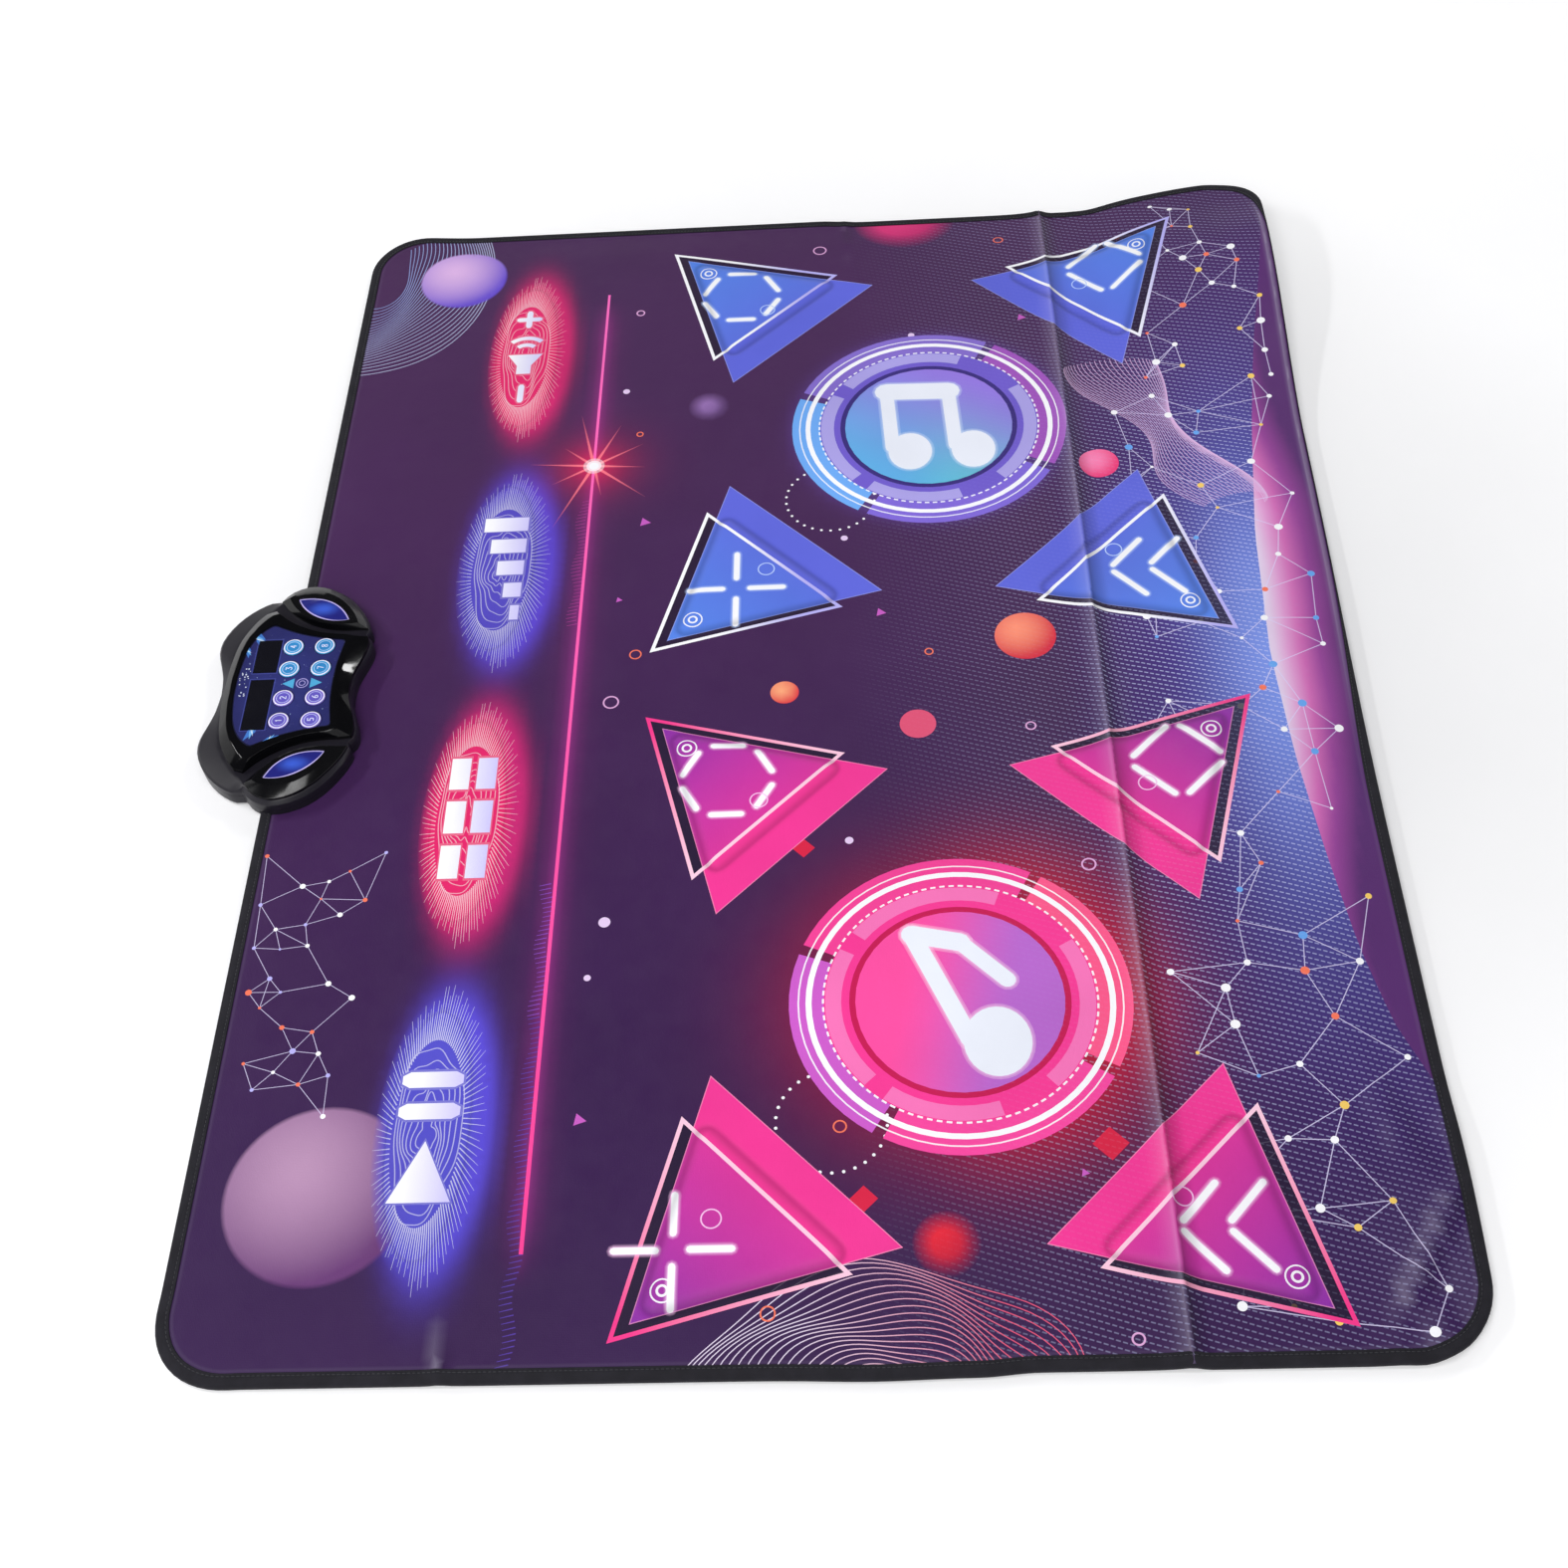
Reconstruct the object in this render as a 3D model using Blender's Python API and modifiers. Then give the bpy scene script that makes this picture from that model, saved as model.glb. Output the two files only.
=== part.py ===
"""An electronic dance mat for two players, with its control box clamped to one long edge.

Metres, +Z up. +X runs along the long side of the mat and +Y towards the control box. The origin lies on
the floor, under the middle of the mat. The control box is drawn in its own frame, centred on the box.
"""

import math

import bmesh
import bpy
from mathutils import Vector

MM = 0.001

# Clearances
GAP = 0.3 * MM
PAD_GAP = 0.4 * MM
KEY_GAP = 0.3 * MM

# Mat, seen from above
MAT_LENGTH = 1220 * MM
MAT_WIDTH = 900 * MM
MAT_CORNER_RADIUS = 58 * MM
BINDING_FLAP = 10 * MM
BINDING_TAPE = 1.2 * MM
BINDING_EDGE_RADIUS = 2.0 * MM

# Mat layers, from the floor up
BASE_SHEET_THICKNESS = 0.8 * MM
CIRCUIT_FILM_THICKNESS = 0.3 * MM
SPACER_THICKNESS = 2.3 * MM
COVER_THICKNESS = 1.6 * MM
SPACER_LEDGE = 8 * MM
BINDING_TOP_FLAP = 0.6 * MM

# Step pads: rounded triangles, four round the middle of each player's field. Each player's outer column is
# placed from the mat's end and the inner one from the mat's middle
STEP_PAD_SIDE = 153 * MM
STEP_PAD_CORNER = 8 * MM
END_TO_OUTER_PADS = {"left": 104 * MM, "right": 128 * MM}
MIDDLE_TO_INNER_PADS = {"left": 126 * MM, "right": 102 * MM}
FRONT_TO_LOWER_PADS = 172 * MM
BACK_TO_UPPER_PADS = 394 * MM
STEP_PAD_TURN = math.radians(15)
STEP_PAD_RISE = 1.0 * MM
STEP_PAD_TRAVEL = 1.0 * MM
STEP_PAD_EDGE = 0.9 * MM

# Setting pads: ovals in a row along the control box's side
SETTING_PADS = ("start", "mode", "level", "volume")
END_TO_START_PAD = 184 * MM
END_TO_VOLUME_PAD = 196 * MM
BACK_TO_SETTING_PADS = 173 * MM
SETTING_PAD_LENGTH = 200 * MM
SETTING_PAD_WIDTH = 60 * MM
SETTING_PAD_TRAVEL = 0.8 * MM
SETTING_PAD_EDGE = 0.3 * MM

# Control box: its middle along the mat's edge, and how far it stands out past that edge
BOX_X = -16 * MM
BOX_REACH = 60 * MM
BOX_LENGTH = 240 * MM
BOX_WIDTH = 134 * MM
BOX_WALL = 2.0 * MM
BOX_FLOOR = 2.0 * MM
FOOT_CHAMFER = 1.3 * MM
WELL_STEP = 0.2 * MM
FOOT_HEIGHT = 1.2 * MM
FOOT_RADIUS = 5 * MM
PARTING_HEIGHT = 12.0 * MM
SHOULDER_HEIGHT = 15.0 * MM
DECK_HEIGHT = 21.5 * MM
DECK_THICKNESS = 2.0 * MM
GROOVE_WIDTH = 9 * MM
TRIM_HEIGHT = 30.6 * MM
TRIM_LIP = 1.7 * MM
TRIM_WALL = 2.0 * MM
WING_HEIGHT = 28.5 * MM
WING_WALL = 2.0 * MM
PANEL_THICKNESS = 1.0 * MM
PANEL_SINK = 0.6 * MM

# Keys on the control panel: two rows of four
KEY_RADIUS = 8.75 * MM
KEY_FLANGE_RADIUS = 10.2 * MM
KEY_FLANGE_THICKNESS = 1.2 * MM
KEY_EDGE = 0.5 * MM
KEY_RISE = 0.8 * MM
KEY_TRAVEL = 0.8 * MM
WINDOW_LEDGE = 1.5 * MM

# Side lights in the wings
LIGHT_WIDTH = 20 * MM
LIGHT_BORDER = 3 * MM
LIGHT_LEDGE = 1.5 * MM
LIGHT_LENS_THICKNESS = 1.5 * MM
LIGHT_BOARD_THICKNESS = 1.2 * MM

# Electronics
BOARD_HALF_LENGTH = 50 * MM
BOARD_V = (-42 * MM, 31 * MM)
BOARD_THICKNESS = 1.6 * MM
MEMBRANE_THICKNESS = 1.5 * MM
POST_RADIUS = 2.5 * MM
SPEAKER_RADIUS = 17 * MM
SPEAKER_HEIGHT = 9 * MM
SPEAKER_SLOT_WIDTH = 1.8 * MM
SPEAKER_SLOT_PITCH = 4.5 * MM
SPEAKER_SLOT_COUNT = 5

# Batteries: three AA cells side by side behind a sliding door
CELL_RADIUS = 7.0 * MM
CELL_LENGTH = 49 * MM
CELL_NUB_RADIUS = 2.6 * MM
CELL_NUB_LENGTH = 1.3 * MM
CELL_PITCH = 14.8 * MM
CELL_COUNT = 3
CONTACT_THICKNESS = 0.5 * MM
CONTACT_SPRING_LENGTH = 1.6 * MM
CONTACT_SPRING_RADIUS = 3.0 * MM
COMPARTMENT_WALL = 1.6 * MM
DOOR_OVERLAP = 3 * MM

# Clamp, screws and the ribbon from the mat's circuit films
CLAMP_HALF_LENGTH = 40 * MM
CLAMP_V = (-50 * MM, -26 * MM)
KEEL_HALF_LENGTH = 26 * MM
KEEL_THICKNESS = 7 * MM
CLAMP_SCREW_U = 18 * MM
SCREW_RADIUS = 1.2 * MM
SCREW_HEAD_RADIUS = 2.7 * MM
SCREW_HEAD_HEIGHT = 0.8 * MM
SCREW_BOSS_RADIUS = 3.2 * MM
SKIRT_SCREW_TOP = 16.5 * MM
RIBBON_U = -36 * MM
RIBBON_WIDTH = 12 * MM
RIBBON_THICKNESS = 0.3 * MM
RIBBON_FOOT = 6 * MM

# How finely round shapes are cut
CORNER_STEPS = 6
PAD_CORNER_STEPS = 3
OVAL_STEPS = 24
ROUND_STEPS = 20
KEY_STEPS = 16
SMALL_ROUND_STEPS = 10
SPAN_STEPS = 2
LIGHT_STEPS = 8
OVERSHOOT = 1 * MM

# All that follows up to the shell curves is a drawing of the control box, stretched to its named size.
# Stations of the right half, from the middle of the mat side round the wing to the middle of the outer
# side: (foot outline, deck outline)
BRIDGE_STATIONS = (
    ((0, -56), (0, -55)),
    ((13, -57), (13, -56)),
    ((26, -61), (26, -60)),
    ((38, -65), (38, -63.5)),
    ((48, -66.5), (48, -65)),
    ((55, -65), (54.5, -63.5)),
    ((59.5, -61.5), (59.5, -60)),
)
WING_STATIONS = (
    ((65, -63.5), (64.5, -61.5)),
    ((76, -60), (75, -57.5)),
    ((88, -53.5), (87, -50)),
    ((101, -44), (98.5, -41)),
    ((111.5, -32), (108.5, -30)),
    ((118, -18), (114.5, -18)),
    ((120, -4), (116.5, -5)),
    ((116, 8), (112.5, 7)),
    ((110, 16), (106.5, 14.5)),
    ((104, 21), (99.5, 19)),
)
SKIRT_STATIONS = (
    ((104, 30), (92, 25)),
    ((98, 41), (85, 30)),
    ((88, 52), (77, 36.5)),
    ((75, 61), (66, 42.5)),
    ((61, 66.5), (55, 47)),
    ((48, 67), (44, 49.5)),
    ((35, 63.5), (33, 51)),
    ((19, 59), (19, 52.2)),
    ((0, 57), (0, 52.5)),
)
# Middle line of the groove between wing and trim, from the mat side outwards
GROOVE_STATIONS = ((60.5, -58), (60, -45), (61.5, -30), (65.5, -16), (73, -1), (82, 10.5), (91, 18.5))
# Top edge of the trim and outline of the panel: mat side, flank along the groove, outer side
TRIM_TOP_MAT = ((0, -44), (20, -44.8), (38, -47.5), (50, -49.5))
TRIM_TOP_FLANK = ((52.3, -46), (53.5, -37), (55.5, -25), (60.5, -11), (67.5, 2.5), (77.5, 15.5))
TRIM_TOP_OUTER = ((76, 20), (69, 27), (53, 36.5), (37, 41), (13, 43.3), (0, 43.5))
PANEL_MAT = ((0, -41.5), (20, -42.3), (36, -44.6), (46, -46.2))
PANEL_FLANK = ((47.8, -44), (48.6, -36), (50.5, -26), (54, -12), (59, 2), (66.5, 17.5))
PANEL_OUTER = ((65.5, 20.5), (60, 27), (50, 33.5), (36, 38), (13, 40.8), (0, 41))
# Keys in two rows of four, the two display windows, the tips of a side light, the speaker, the case screws
# and the feet
KEY_COLUMNS = (-40.5, -16, 16, 40.5)
KEY_ROWS = (-2, -29)
WINDOW_COLUMNS = {"score": (13, 49), "song": (-49, 5)}
WINDOW_ROWS = (9, 28.5)
LIGHT_TIPS = ((98, 3), (72, -45))
SPEAKER_PLACE = (62, 37)
CASE_SCREW_PLACES = ((-92, 32), (92, 32), (-55, -54), (55, -54))
FOOT_PLACES = {"left": (-72, 44), "right": (72, 44)}

# How far the sides of a shell have moved in towards its top edge at a share of the height
SHOULDER_CURVE = ((0, 0.30), (0.10, 0.54), (0.80, 0.95), (1, 1))
TRIM_CURVE = ((0, 0.16), (0.04, 0.34), (0.76, 0.96), (0.86, 1), (1, 1))
WING_CURVE = ((0, 0.26), (0.04, 0.34), (0.64, 0.97), (1, 1))
TRIM_HOLLOW_SLOPE = 0.9
WING_HOLLOW_RISE = 0.2

# Levels that follow from the sizes above
LOWER_FILM_LOW = BASE_SHEET_THICKNESS + GAP
SPACER_LOW = LOWER_FILM_LOW + CIRCUIT_FILM_THICKNESS + GAP
UPPER_FILM_LOW = SPACER_LOW + SPACER_THICKNESS + GAP
COVER_LOW = UPPER_FILM_LOW + CIRCUIT_FILM_THICKNESS + GAP
COVER_TOP = COVER_LOW + COVER_THICKNESS
BINDING_TOP = COVER_TOP + GAP + BINDING_TOP_FLAP
LAYER_INSET = BINDING_TAPE + GAP
BOX_LOW = FOOT_HEIGHT + GAP
FLOOR_TOP = BOX_LOW + BOX_FLOOR
MAT_SIDE_LOW = COVER_TOP + GAP
SHELF_LOW = BINDING_TOP + GAP
SHELF_TOP = SHELF_LOW + BOX_FLOOR
BOX_Y = MAT_WIDTH / 2 + BOX_REACH - BOX_WIDTH / 2
STEP_WALL_V = BOX_WIDTH / 2 - BOX_REACH + GAP
TOP_CASE_LOW = PARTING_HEIGHT + GAP
TRIM_LOW = DECK_HEIGHT + GAP
PANEL_TOP = TRIM_HEIGHT - PANEL_SINK
PANEL_LOW = PANEL_TOP - PANEL_THICKNESS
TRIM_DECK_TOP = PANEL_LOW - GAP
TRIM_DECK_LOW = TRIM_DECK_TOP - TRIM_LIP
CELL_REACH = (CELL_LENGTH + CELL_NUB_LENGTH) / 2
COMPARTMENT_REACH = CELL_REACH + CONTACT_SPRING_LENGTH + 2 * CONTACT_THICKNESS + GAP
DOOR_HALF_LENGTH = COMPARTMENT_REACH + DOOR_OVERLAP
CELL_HEIGHT = FLOOR_TOP + GAP + CELL_RADIUS
CONTACT_TOP = CELL_HEIGHT + CELL_RADIUS / 2
FIRST_CELL_V = STEP_WALL_V + BOX_WALL + GAP + CELL_RADIUS
BOARD_LOW = CELL_HEIGHT + CELL_RADIUS + 2 * GAP
BOARD_TOP = BOARD_LOW + BOARD_THICKNESS
MEMBRANE_LOW = BOARD_TOP + GAP
MEMBRANE_TOP = MEMBRANE_LOW + MEMBRANE_THICKNESS
KEEL_V = (CLAMP_V[0] + CLAMP_V[1]) / 2


# Scene, collections and materials

def empty_scene():
    for old in list(bpy.data.objects):
        bpy.data.objects.remove(old)


def new_collection(name):
    collection = bpy.data.collections.new(name)
    bpy.context.scene.collection.children.link(collection)
    return collection


def material(name, colour, roughness, metallic=0.0, alpha=1.0):
    made = bpy.data.materials.new(name)
    made.use_nodes = True
    shader = made.node_tree.nodes["Principled BSDF"]
    shader.inputs["Base Color"].default_value = (*colour, 1.0)
    shader.inputs["Roughness"].default_value = roughness
    shader.inputs["Metallic"].default_value = metallic
    shader.inputs["Alpha"].default_value = alpha
    return made


def add_object(name, mesh, collection=None, location=(0, 0, 0), parent=None):
    thing = bpy.data.objects.new(name, mesh)
    (collection or PARTS).objects.link(thing)
    thing.location = location
    thing.parent = parent
    return thing


def shade(thing, finish, angle=35):
    thing.data.materials.clear()
    thing.data.materials.append(finish)
    thing.data.shade_smooth()
    thing.data.set_sharp_from_angle(angle=math.radians(angle))
    return thing


def as_cutter(thing):
    for collection in list(thing.users_collection):
        collection.objects.unlink(thing)
    CUTTERS.objects.link(thing)
    thing.hide_render = True
    thing.display_type = "WIRE"
    return thing


def combine(target, other, operation):
    """Cuts, joins or intersects target with a helper object."""
    step = target.modifiers.new(f"{operation.lower()} {other.name}", "BOOLEAN")
    step.operation = operation
    step.object = as_cutter(other)
    return target


def cut(target, other):
    return combine(target, other, "DIFFERENCE")


def bevel_edges(thing, width, segments=2, angle=50):
    step = thing.modifiers.new("rounded edges", "BEVEL")
    step.width = width
    step.segments = segments
    step.limit_method = "ANGLE"
    step.angle_limit = math.radians(angle)
    step.use_clamp_overlap = True
    return thing


# Outlines

def arc(centre, radius, start, end, steps):
    points = []
    for index in range(steps + 1):
        angle = start + (end - start) * index / steps
        points.append((centre[0] + radius * math.cos(angle), centre[1] + radius * math.sin(angle)))
    return points


def rounded_rectangle(length, width, radius, steps=CORNER_STEPS):
    points = []
    for turn, (side_x, side_y) in enumerate(((1, 1), (-1, 1), (-1, -1), (1, -1))):
        centre = (side_x * (length / 2 - radius), side_y * (width / 2 - radius))
        points += arc(centre, radius, turn * math.pi / 2, (turn + 1) * math.pi / 2, steps)
    return points


def rectangle(u_range, v_range):
    (low_u, high_u), (low_v, high_v) = u_range, v_range
    return [(low_u, low_v), (high_u, low_v), (high_u, high_v), (low_u, high_v)]


def oval(length, width, steps=OVAL_STEPS):
    turns = [2 * math.pi * index / steps for index in range(steps)]
    return [(length / 2 * math.cos(turn), width / 2 * math.sin(turn)) for turn in turns]


def rounded_triangle(side, corner, grown=0.0, steps=PAD_CORNER_STEPS):
    """An equal-sided triangle with a tip at angle 0 and rounded corners, its sides moved out by grown."""
    reach = side / math.sqrt(3) + 2 * grown
    radius = corner + grown
    points = []
    for index in range(3):
        angle = 2 * math.pi * index / 3
        middle = reach - 2 * radius
        centre = (middle * math.cos(angle), middle * math.sin(angle))
        points += arc(centre, radius, angle - math.pi / 3, angle + math.pi / 3, steps)
    return points


def pad_outline(place, grown=0.0):
    """Outline of the step pad at one corner of a player's field, tip towards the field's far side."""
    side_x, side_y = place
    points = []
    for x, y in rounded_triangle(STEP_PAD_SIDE, STEP_PAD_CORNER, grown):
        turned_x = x * math.cos(STEP_PAD_TURN) - y * math.sin(STEP_PAD_TURN)
        turned_y = x * math.sin(STEP_PAD_TURN) + y * math.cos(STEP_PAD_TURN)
        points.append((-side_x * turned_x, side_y * turned_y))
    return points


def moved(points, offset):
    return [(x + offset[0], y + offset[1]) for x, y in points]


def smooth_through(stations, steps=SPAN_STEPS):
    """A smooth open line through the stations, both ends included."""
    points = []
    for index in range(len(stations) - 1):
        before = Vector(stations[max(index - 1, 0)])
        start = Vector(stations[index])
        end = Vector(stations[index + 1])
        after = Vector(stations[min(index + 2, len(stations) - 1)])
        for step in range(steps):
            t = step / steps
            point = 0.5 * (
                2 * start
                + (end - before) * t
                + (2 * before - 5 * start + 4 * end - after) * t * t
                + (3 * start - 3 * end + after - before) * t ** 3
            )
            points.append((point.x, point.y))
    points.append(tuple(stations[-1]))
    return points


def drawn(stations):
    """Places in the drawing of the control box, stretched to its named length and width."""
    outline = [foot for foot, deck in BRIDGE_STATIONS + WING_STATIONS + SKIRT_STATIONS]
    stretch_u = BOX_LENGTH / (2 * max(u for u, v in outline))
    stretch_v = BOX_WIDTH / (max(v for u, v in outline) - min(v for u, v in outline))
    return [(u * stretch_u, v * stretch_v) for u, v in stations]


def place(station):
    return drawn([station])[0]


def mirrored_loop(half):
    """A closed outline from its right half, which starts and ends on the middle line."""
    return half + [(-u, v) for u, v in reversed(half[1:-1])]


def inset(points, distance, reach=2):
    """A closed counterclockwise outline moved inwards, with its normals averaged over near points."""
    count = len(points)
    result = []
    for index, (u, v) in enumerate(points):
        before = points[(index - reach) % count]
        after = points[(index + reach) % count]
        along = Vector((after[0] - before[0], after[1] - before[1])).normalized()
        result.append((u - along.y * distance, v + along.x * distance))
    return result


def hollow_outline(points, distance):
    """Half as many points as the outline, moved inwards, for a wall's hidden side."""
    return inset(points, distance)[::2]


def offset_line(points, distance):
    """An open line moved to its left."""
    result = []
    for index, (u, v) in enumerate(points):
        before = points[max(index - 1, 0)]
        after = points[min(index + 1, len(points) - 1)]
        along = Vector((after[0] - before[0], after[1] - before[1])).normalized()
        result.append((u - along.y * distance, v + along.x * distance))
    return result


def box_outline(level):
    """The control box's outline: level 0 is at its foot and level 1 at the deck."""
    stations = BRIDGE_STATIONS + WING_STATIONS + SKIRT_STATIONS
    return mirrored_loop(smooth_through(drawn([pair[level] for pair in stations])))


def groove_line(side):
    """One side of the groove: side is +1 for the wing's wall and -1 for the trim's."""
    return offset_line(smooth_through(drawn(GROOVE_STATIONS)), -side * GROOVE_WIDTH / 2)


def trim_outline():
    """Foot of the trim: bridge on the mat side, a groove wall on each flank, rim on the outer side."""
    bridge = smooth_through(drawn([pair[1] for pair in BRIDGE_STATIONS[:-1]]))
    rim = smooth_through(drawn([pair[1] for pair in SKIRT_STATIONS[1:]]))
    return mirrored_loop(bridge + groove_line(-1)[1:] + rim)


def trim_top_outline():
    """Top edge of the trim, with one point for each point of its foot."""
    spans = (len(BRIDGE_STATIONS) - 2, len(GROOVE_STATIONS) - 1, len(SKIRT_STATIONS) - 2)
    return mirrored_loop(
        resampled(smooth_through(drawn(TRIM_TOP_MAT)), spans[0] * SPAN_STEPS)
        + resampled(smooth_through(drawn(TRIM_TOP_FLANK)), spans[1] * SPAN_STEPS)[1:]
        + resampled(smooth_through(drawn(TRIM_TOP_OUTER)), spans[2] * SPAN_STEPS)
    )


def panel_outline():
    spans = [smooth_through(drawn(stations)) for stations in (PANEL_MAT, PANEL_FLANK, PANEL_OUTER)]
    return mirrored_loop(spans[0] + spans[1] + spans[2])


def resampled(points, spans):
    """The same open line cut into equal lengths."""
    lengths = [0.0]
    for start, end in zip(points, points[1:]):
        lengths.append(lengths[-1] + math.dist(start, end))
    result = []
    index = 0
    for step in range(spans + 1):
        wanted = lengths[-1] * step / spans
        while index < len(points) - 2 and lengths[index + 1] < wanted:
            index += 1
        share = (wanted - lengths[index]) / (lengths[index + 1] - lengths[index])
        start, end = points[index], points[index + 1]
        result.append((start[0] + (end[0] - start[0]) * share, start[1] + (end[1] - start[1]) * share))
    return result


def wing_outline():
    """Foot of a wing cover: round the outside from the mat-side tip, then back along the groove."""
    outside = smooth_through(drawn([pair[1] for pair in WING_STATIONS]))
    inside = [outside[-1]] + groove_line(1)[-2:0:-1] + [outside[0]]
    return resampled(outside, 2 * LIGHT_STEPS)[:-1] + resampled(inside, 2 * LIGHT_STEPS)[:-1]


def light_outline(grown=0.0, steps=LIGHT_STEPS):
    """A pointed oval of two arcs between the light's two tips, its sides moved out by grown."""
    tip_outer, tip_mat = [Vector(tip) for tip in drawn(LIGHT_TIPS)]
    middle = (tip_mat + tip_outer) / 2
    half_length = (tip_outer - tip_mat).length / 2
    half_width = LIGHT_WIDTH / 2
    along = (tip_outer - tip_mat).normalized()
    across = Vector((along.y, -along.x))
    radius = (half_length ** 2 + half_width ** 2) / (2 * half_width)
    drop = radius - half_width
    grown_radius = radius + grown
    half_angle = math.acos(drop / grown_radius)
    points = []
    for side in (1, -1):
        for index in range(2 * steps):
            angle = -half_angle + 2 * half_angle * index / (2 * steps)
            distance = grown_radius * math.cos(angle) - drop
            shift = grown_radius * math.sin(angle)
            point = middle + side * (across * distance + along * shift)
            points.append((point.x, point.y))
    return points


# Solids

def weld(mesh, distance=0.00001):
    shape = bmesh.new()
    shape.from_mesh(mesh)
    bmesh.ops.remove_doubles(shape, verts=shape.verts, dist=distance)
    bmesh.ops.recalc_face_normals(shape, faces=shape.faces)
    shape.to_mesh(mesh)
    shape.free()


def plate(name, outline, low, high, holes=(), parent=None, location=(0, 0)):
    """A flat outline with holes, extruded from low to high."""
    curve = bpy.data.curves.new(name, "CURVE")
    curve.dimensions = "2D"
    curve.fill_mode = "BOTH"
    curve.extrude = (high - low) / 2
    for points in (outline, *holes):
        spline = curve.splines.new("POLY")
        spline.points.add(len(points) - 1)
        spline.use_cyclic_u = True
        for target, (x, y) in zip(spline.points, points):
            target.co = (x, y, 0, 1)
    guide = bpy.data.objects.new(name + " guide", curve)
    bpy.context.scene.collection.objects.link(guide)
    bpy.context.view_layer.update()
    graph = bpy.context.evaluated_depsgraph_get()
    mesh = bpy.data.meshes.new_from_object(guide.evaluated_get(graph))
    bpy.data.objects.remove(guide)
    weld(mesh)
    return add_object(name, mesh, location=(*location, (low + high) / 2), parent=parent)


def box(name, low, high, parent=None):
    shape = bmesh.new()
    bmesh.ops.create_cube(shape, size=1.0)
    size = [high[axis] - low[axis] for axis in range(3)]
    bmesh.ops.scale(shape, vec=size, verts=shape.verts)
    mesh = bpy.data.meshes.new(name)
    shape.to_mesh(mesh)
    shape.free()
    middle = [(high[axis] + low[axis]) / 2 for axis in range(3)]
    return add_object(name, mesh, location=middle, parent=parent)


def cylinder(name, radius, low, high, centre=(0, 0), parent=None, steps=ROUND_STEPS):
    shape = bmesh.new()
    bmesh.ops.create_cone(
        shape, cap_ends=True, segments=steps, radius1=radius, radius2=radius, depth=high - low
    )
    mesh = bpy.data.meshes.new(name)
    shape.to_mesh(mesh)
    shape.free()
    return add_object(name, mesh, location=(*centre, (low + high) / 2), parent=parent)


def rod(name, radius, span, centre, parent):
    """A thin upright cylinder, for posts and screw holes."""
    return cylinder(name, radius, span[0], span[1], centre, parent, SMALL_ROUND_STEPS)


def turned(name, profile, steps=ROUND_STEPS, location=(0, 0, 0), parent=None):
    """A turned solid. The profile starts on the axis at the top and runs down the outside to the axis."""
    mesh = bpy.data.meshes.new(name)
    mesh.from_pydata([(radius, 0, height) for radius, height in profile], [
        (index, index + 1) for index in range(len(profile) - 1)
    ], [])
    thing = add_object(name, mesh, location=location, parent=parent)
    screw = thing.modifiers.new("turned", "SCREW")
    screw.steps = screw.render_steps = steps
    screw.use_merge_vertices = True
    screw.merge_threshold = 0.00001
    screw.use_smooth_shade = True
    return thing


def loft(name, rings, parent=None):
    """A closed solid through level rings with as many points each, as (outline, height) from below."""
    shape = bmesh.new()
    rows = [[shape.verts.new((u, v, height)) for u, v in outline] for outline, height in rings]
    for lower, upper in zip(rows, rows[1:]):
        for index in range(len(lower)):
            after = (index + 1) % len(lower)
            shape.faces.new((lower[index], lower[after], upper[after], upper[index]))
    shape.faces.new(rows[0][::-1])
    shape.faces.new(rows[-1])
    bmesh.ops.recalc_face_normals(shape, faces=shape.faces)
    mesh = bpy.data.meshes.new(name)
    shape.to_mesh(mesh)
    shape.free()
    return add_object(name, mesh, parent=parent)


def blend_outlines(first, second, share):
    return [(a[0] + (b[0] - a[0]) * share, a[1] + (b[1] - a[1]) * share) for a, b in zip(first, second)]


# Mat

def pad_places():
    """(name, corner of the field, middle) of the eight step pads."""
    upper_y, lower_y = MAT_WIDTH / 2 - BACK_TO_UPPER_PADS, FRONT_TO_LOWER_PADS - MAT_WIDTH / 2
    places = []
    for player, end in (("left", -1), ("right", 1)):
        for row, side_y, y in (("upper", 1, upper_y), ("lower", -1, lower_y)):
            for column, side_x in (("left", -1), ("right", 1)):
                outer = MAT_LENGTH / 2 - END_TO_OUTER_PADS[player]
                x = end * (outer if side_x == end else MIDDLE_TO_INNER_PADS[player])
                places.append((f"{player}_player_{row}_{column}_pad", (side_x, side_y), (x, y)))
    return places


def setting_pad_places():
    """(name, middle) of the setting pads, evenly spaced in their row."""
    first, last = END_TO_START_PAD - MAT_LENGTH / 2, MAT_LENGTH / 2 - END_TO_VOLUME_PAD
    spacing = (last - first) / (len(SETTING_PADS) - 1)
    y = MAT_WIDTH / 2 - BACK_TO_SETTING_PADS
    return [(name, (first + index * spacing, y)) for index, name in enumerate(SETTING_PADS)]


def pad_windows(grown):
    """Outlines of all twelve pads, moved out by grown."""
    windows = [moved(pad_outline(corner, grown), middle) for _, corner, middle in pad_places()]
    window = oval(SETTING_PAD_LENGTH + 2 * grown, SETTING_PAD_WIDTH + 2 * grown)
    return windows + [moved(window, middle) for name, middle in setting_pad_places()]


def in_mat(outline):
    """An outline of the control box's frame in the mat's frame."""
    return moved(outline, (BOX_X, BOX_Y))


def keel_window():
    u, v = KEEL_HALF_LENGTH + GAP, KEEL_THICKNESS / 2 + GAP
    return in_mat(rectangle((-u, u), (KEEL_V - v, KEEL_V + v)))


def ribbon_window():
    half = RIBBON_WIDTH / 2 + GAP
    deep = RIBBON_THICKNESS / 2 + GAP
    return in_mat(rectangle((RIBBON_U - half, RIBBON_U + half), (KEEL_V - deep, KEEL_V + deep)))


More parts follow.
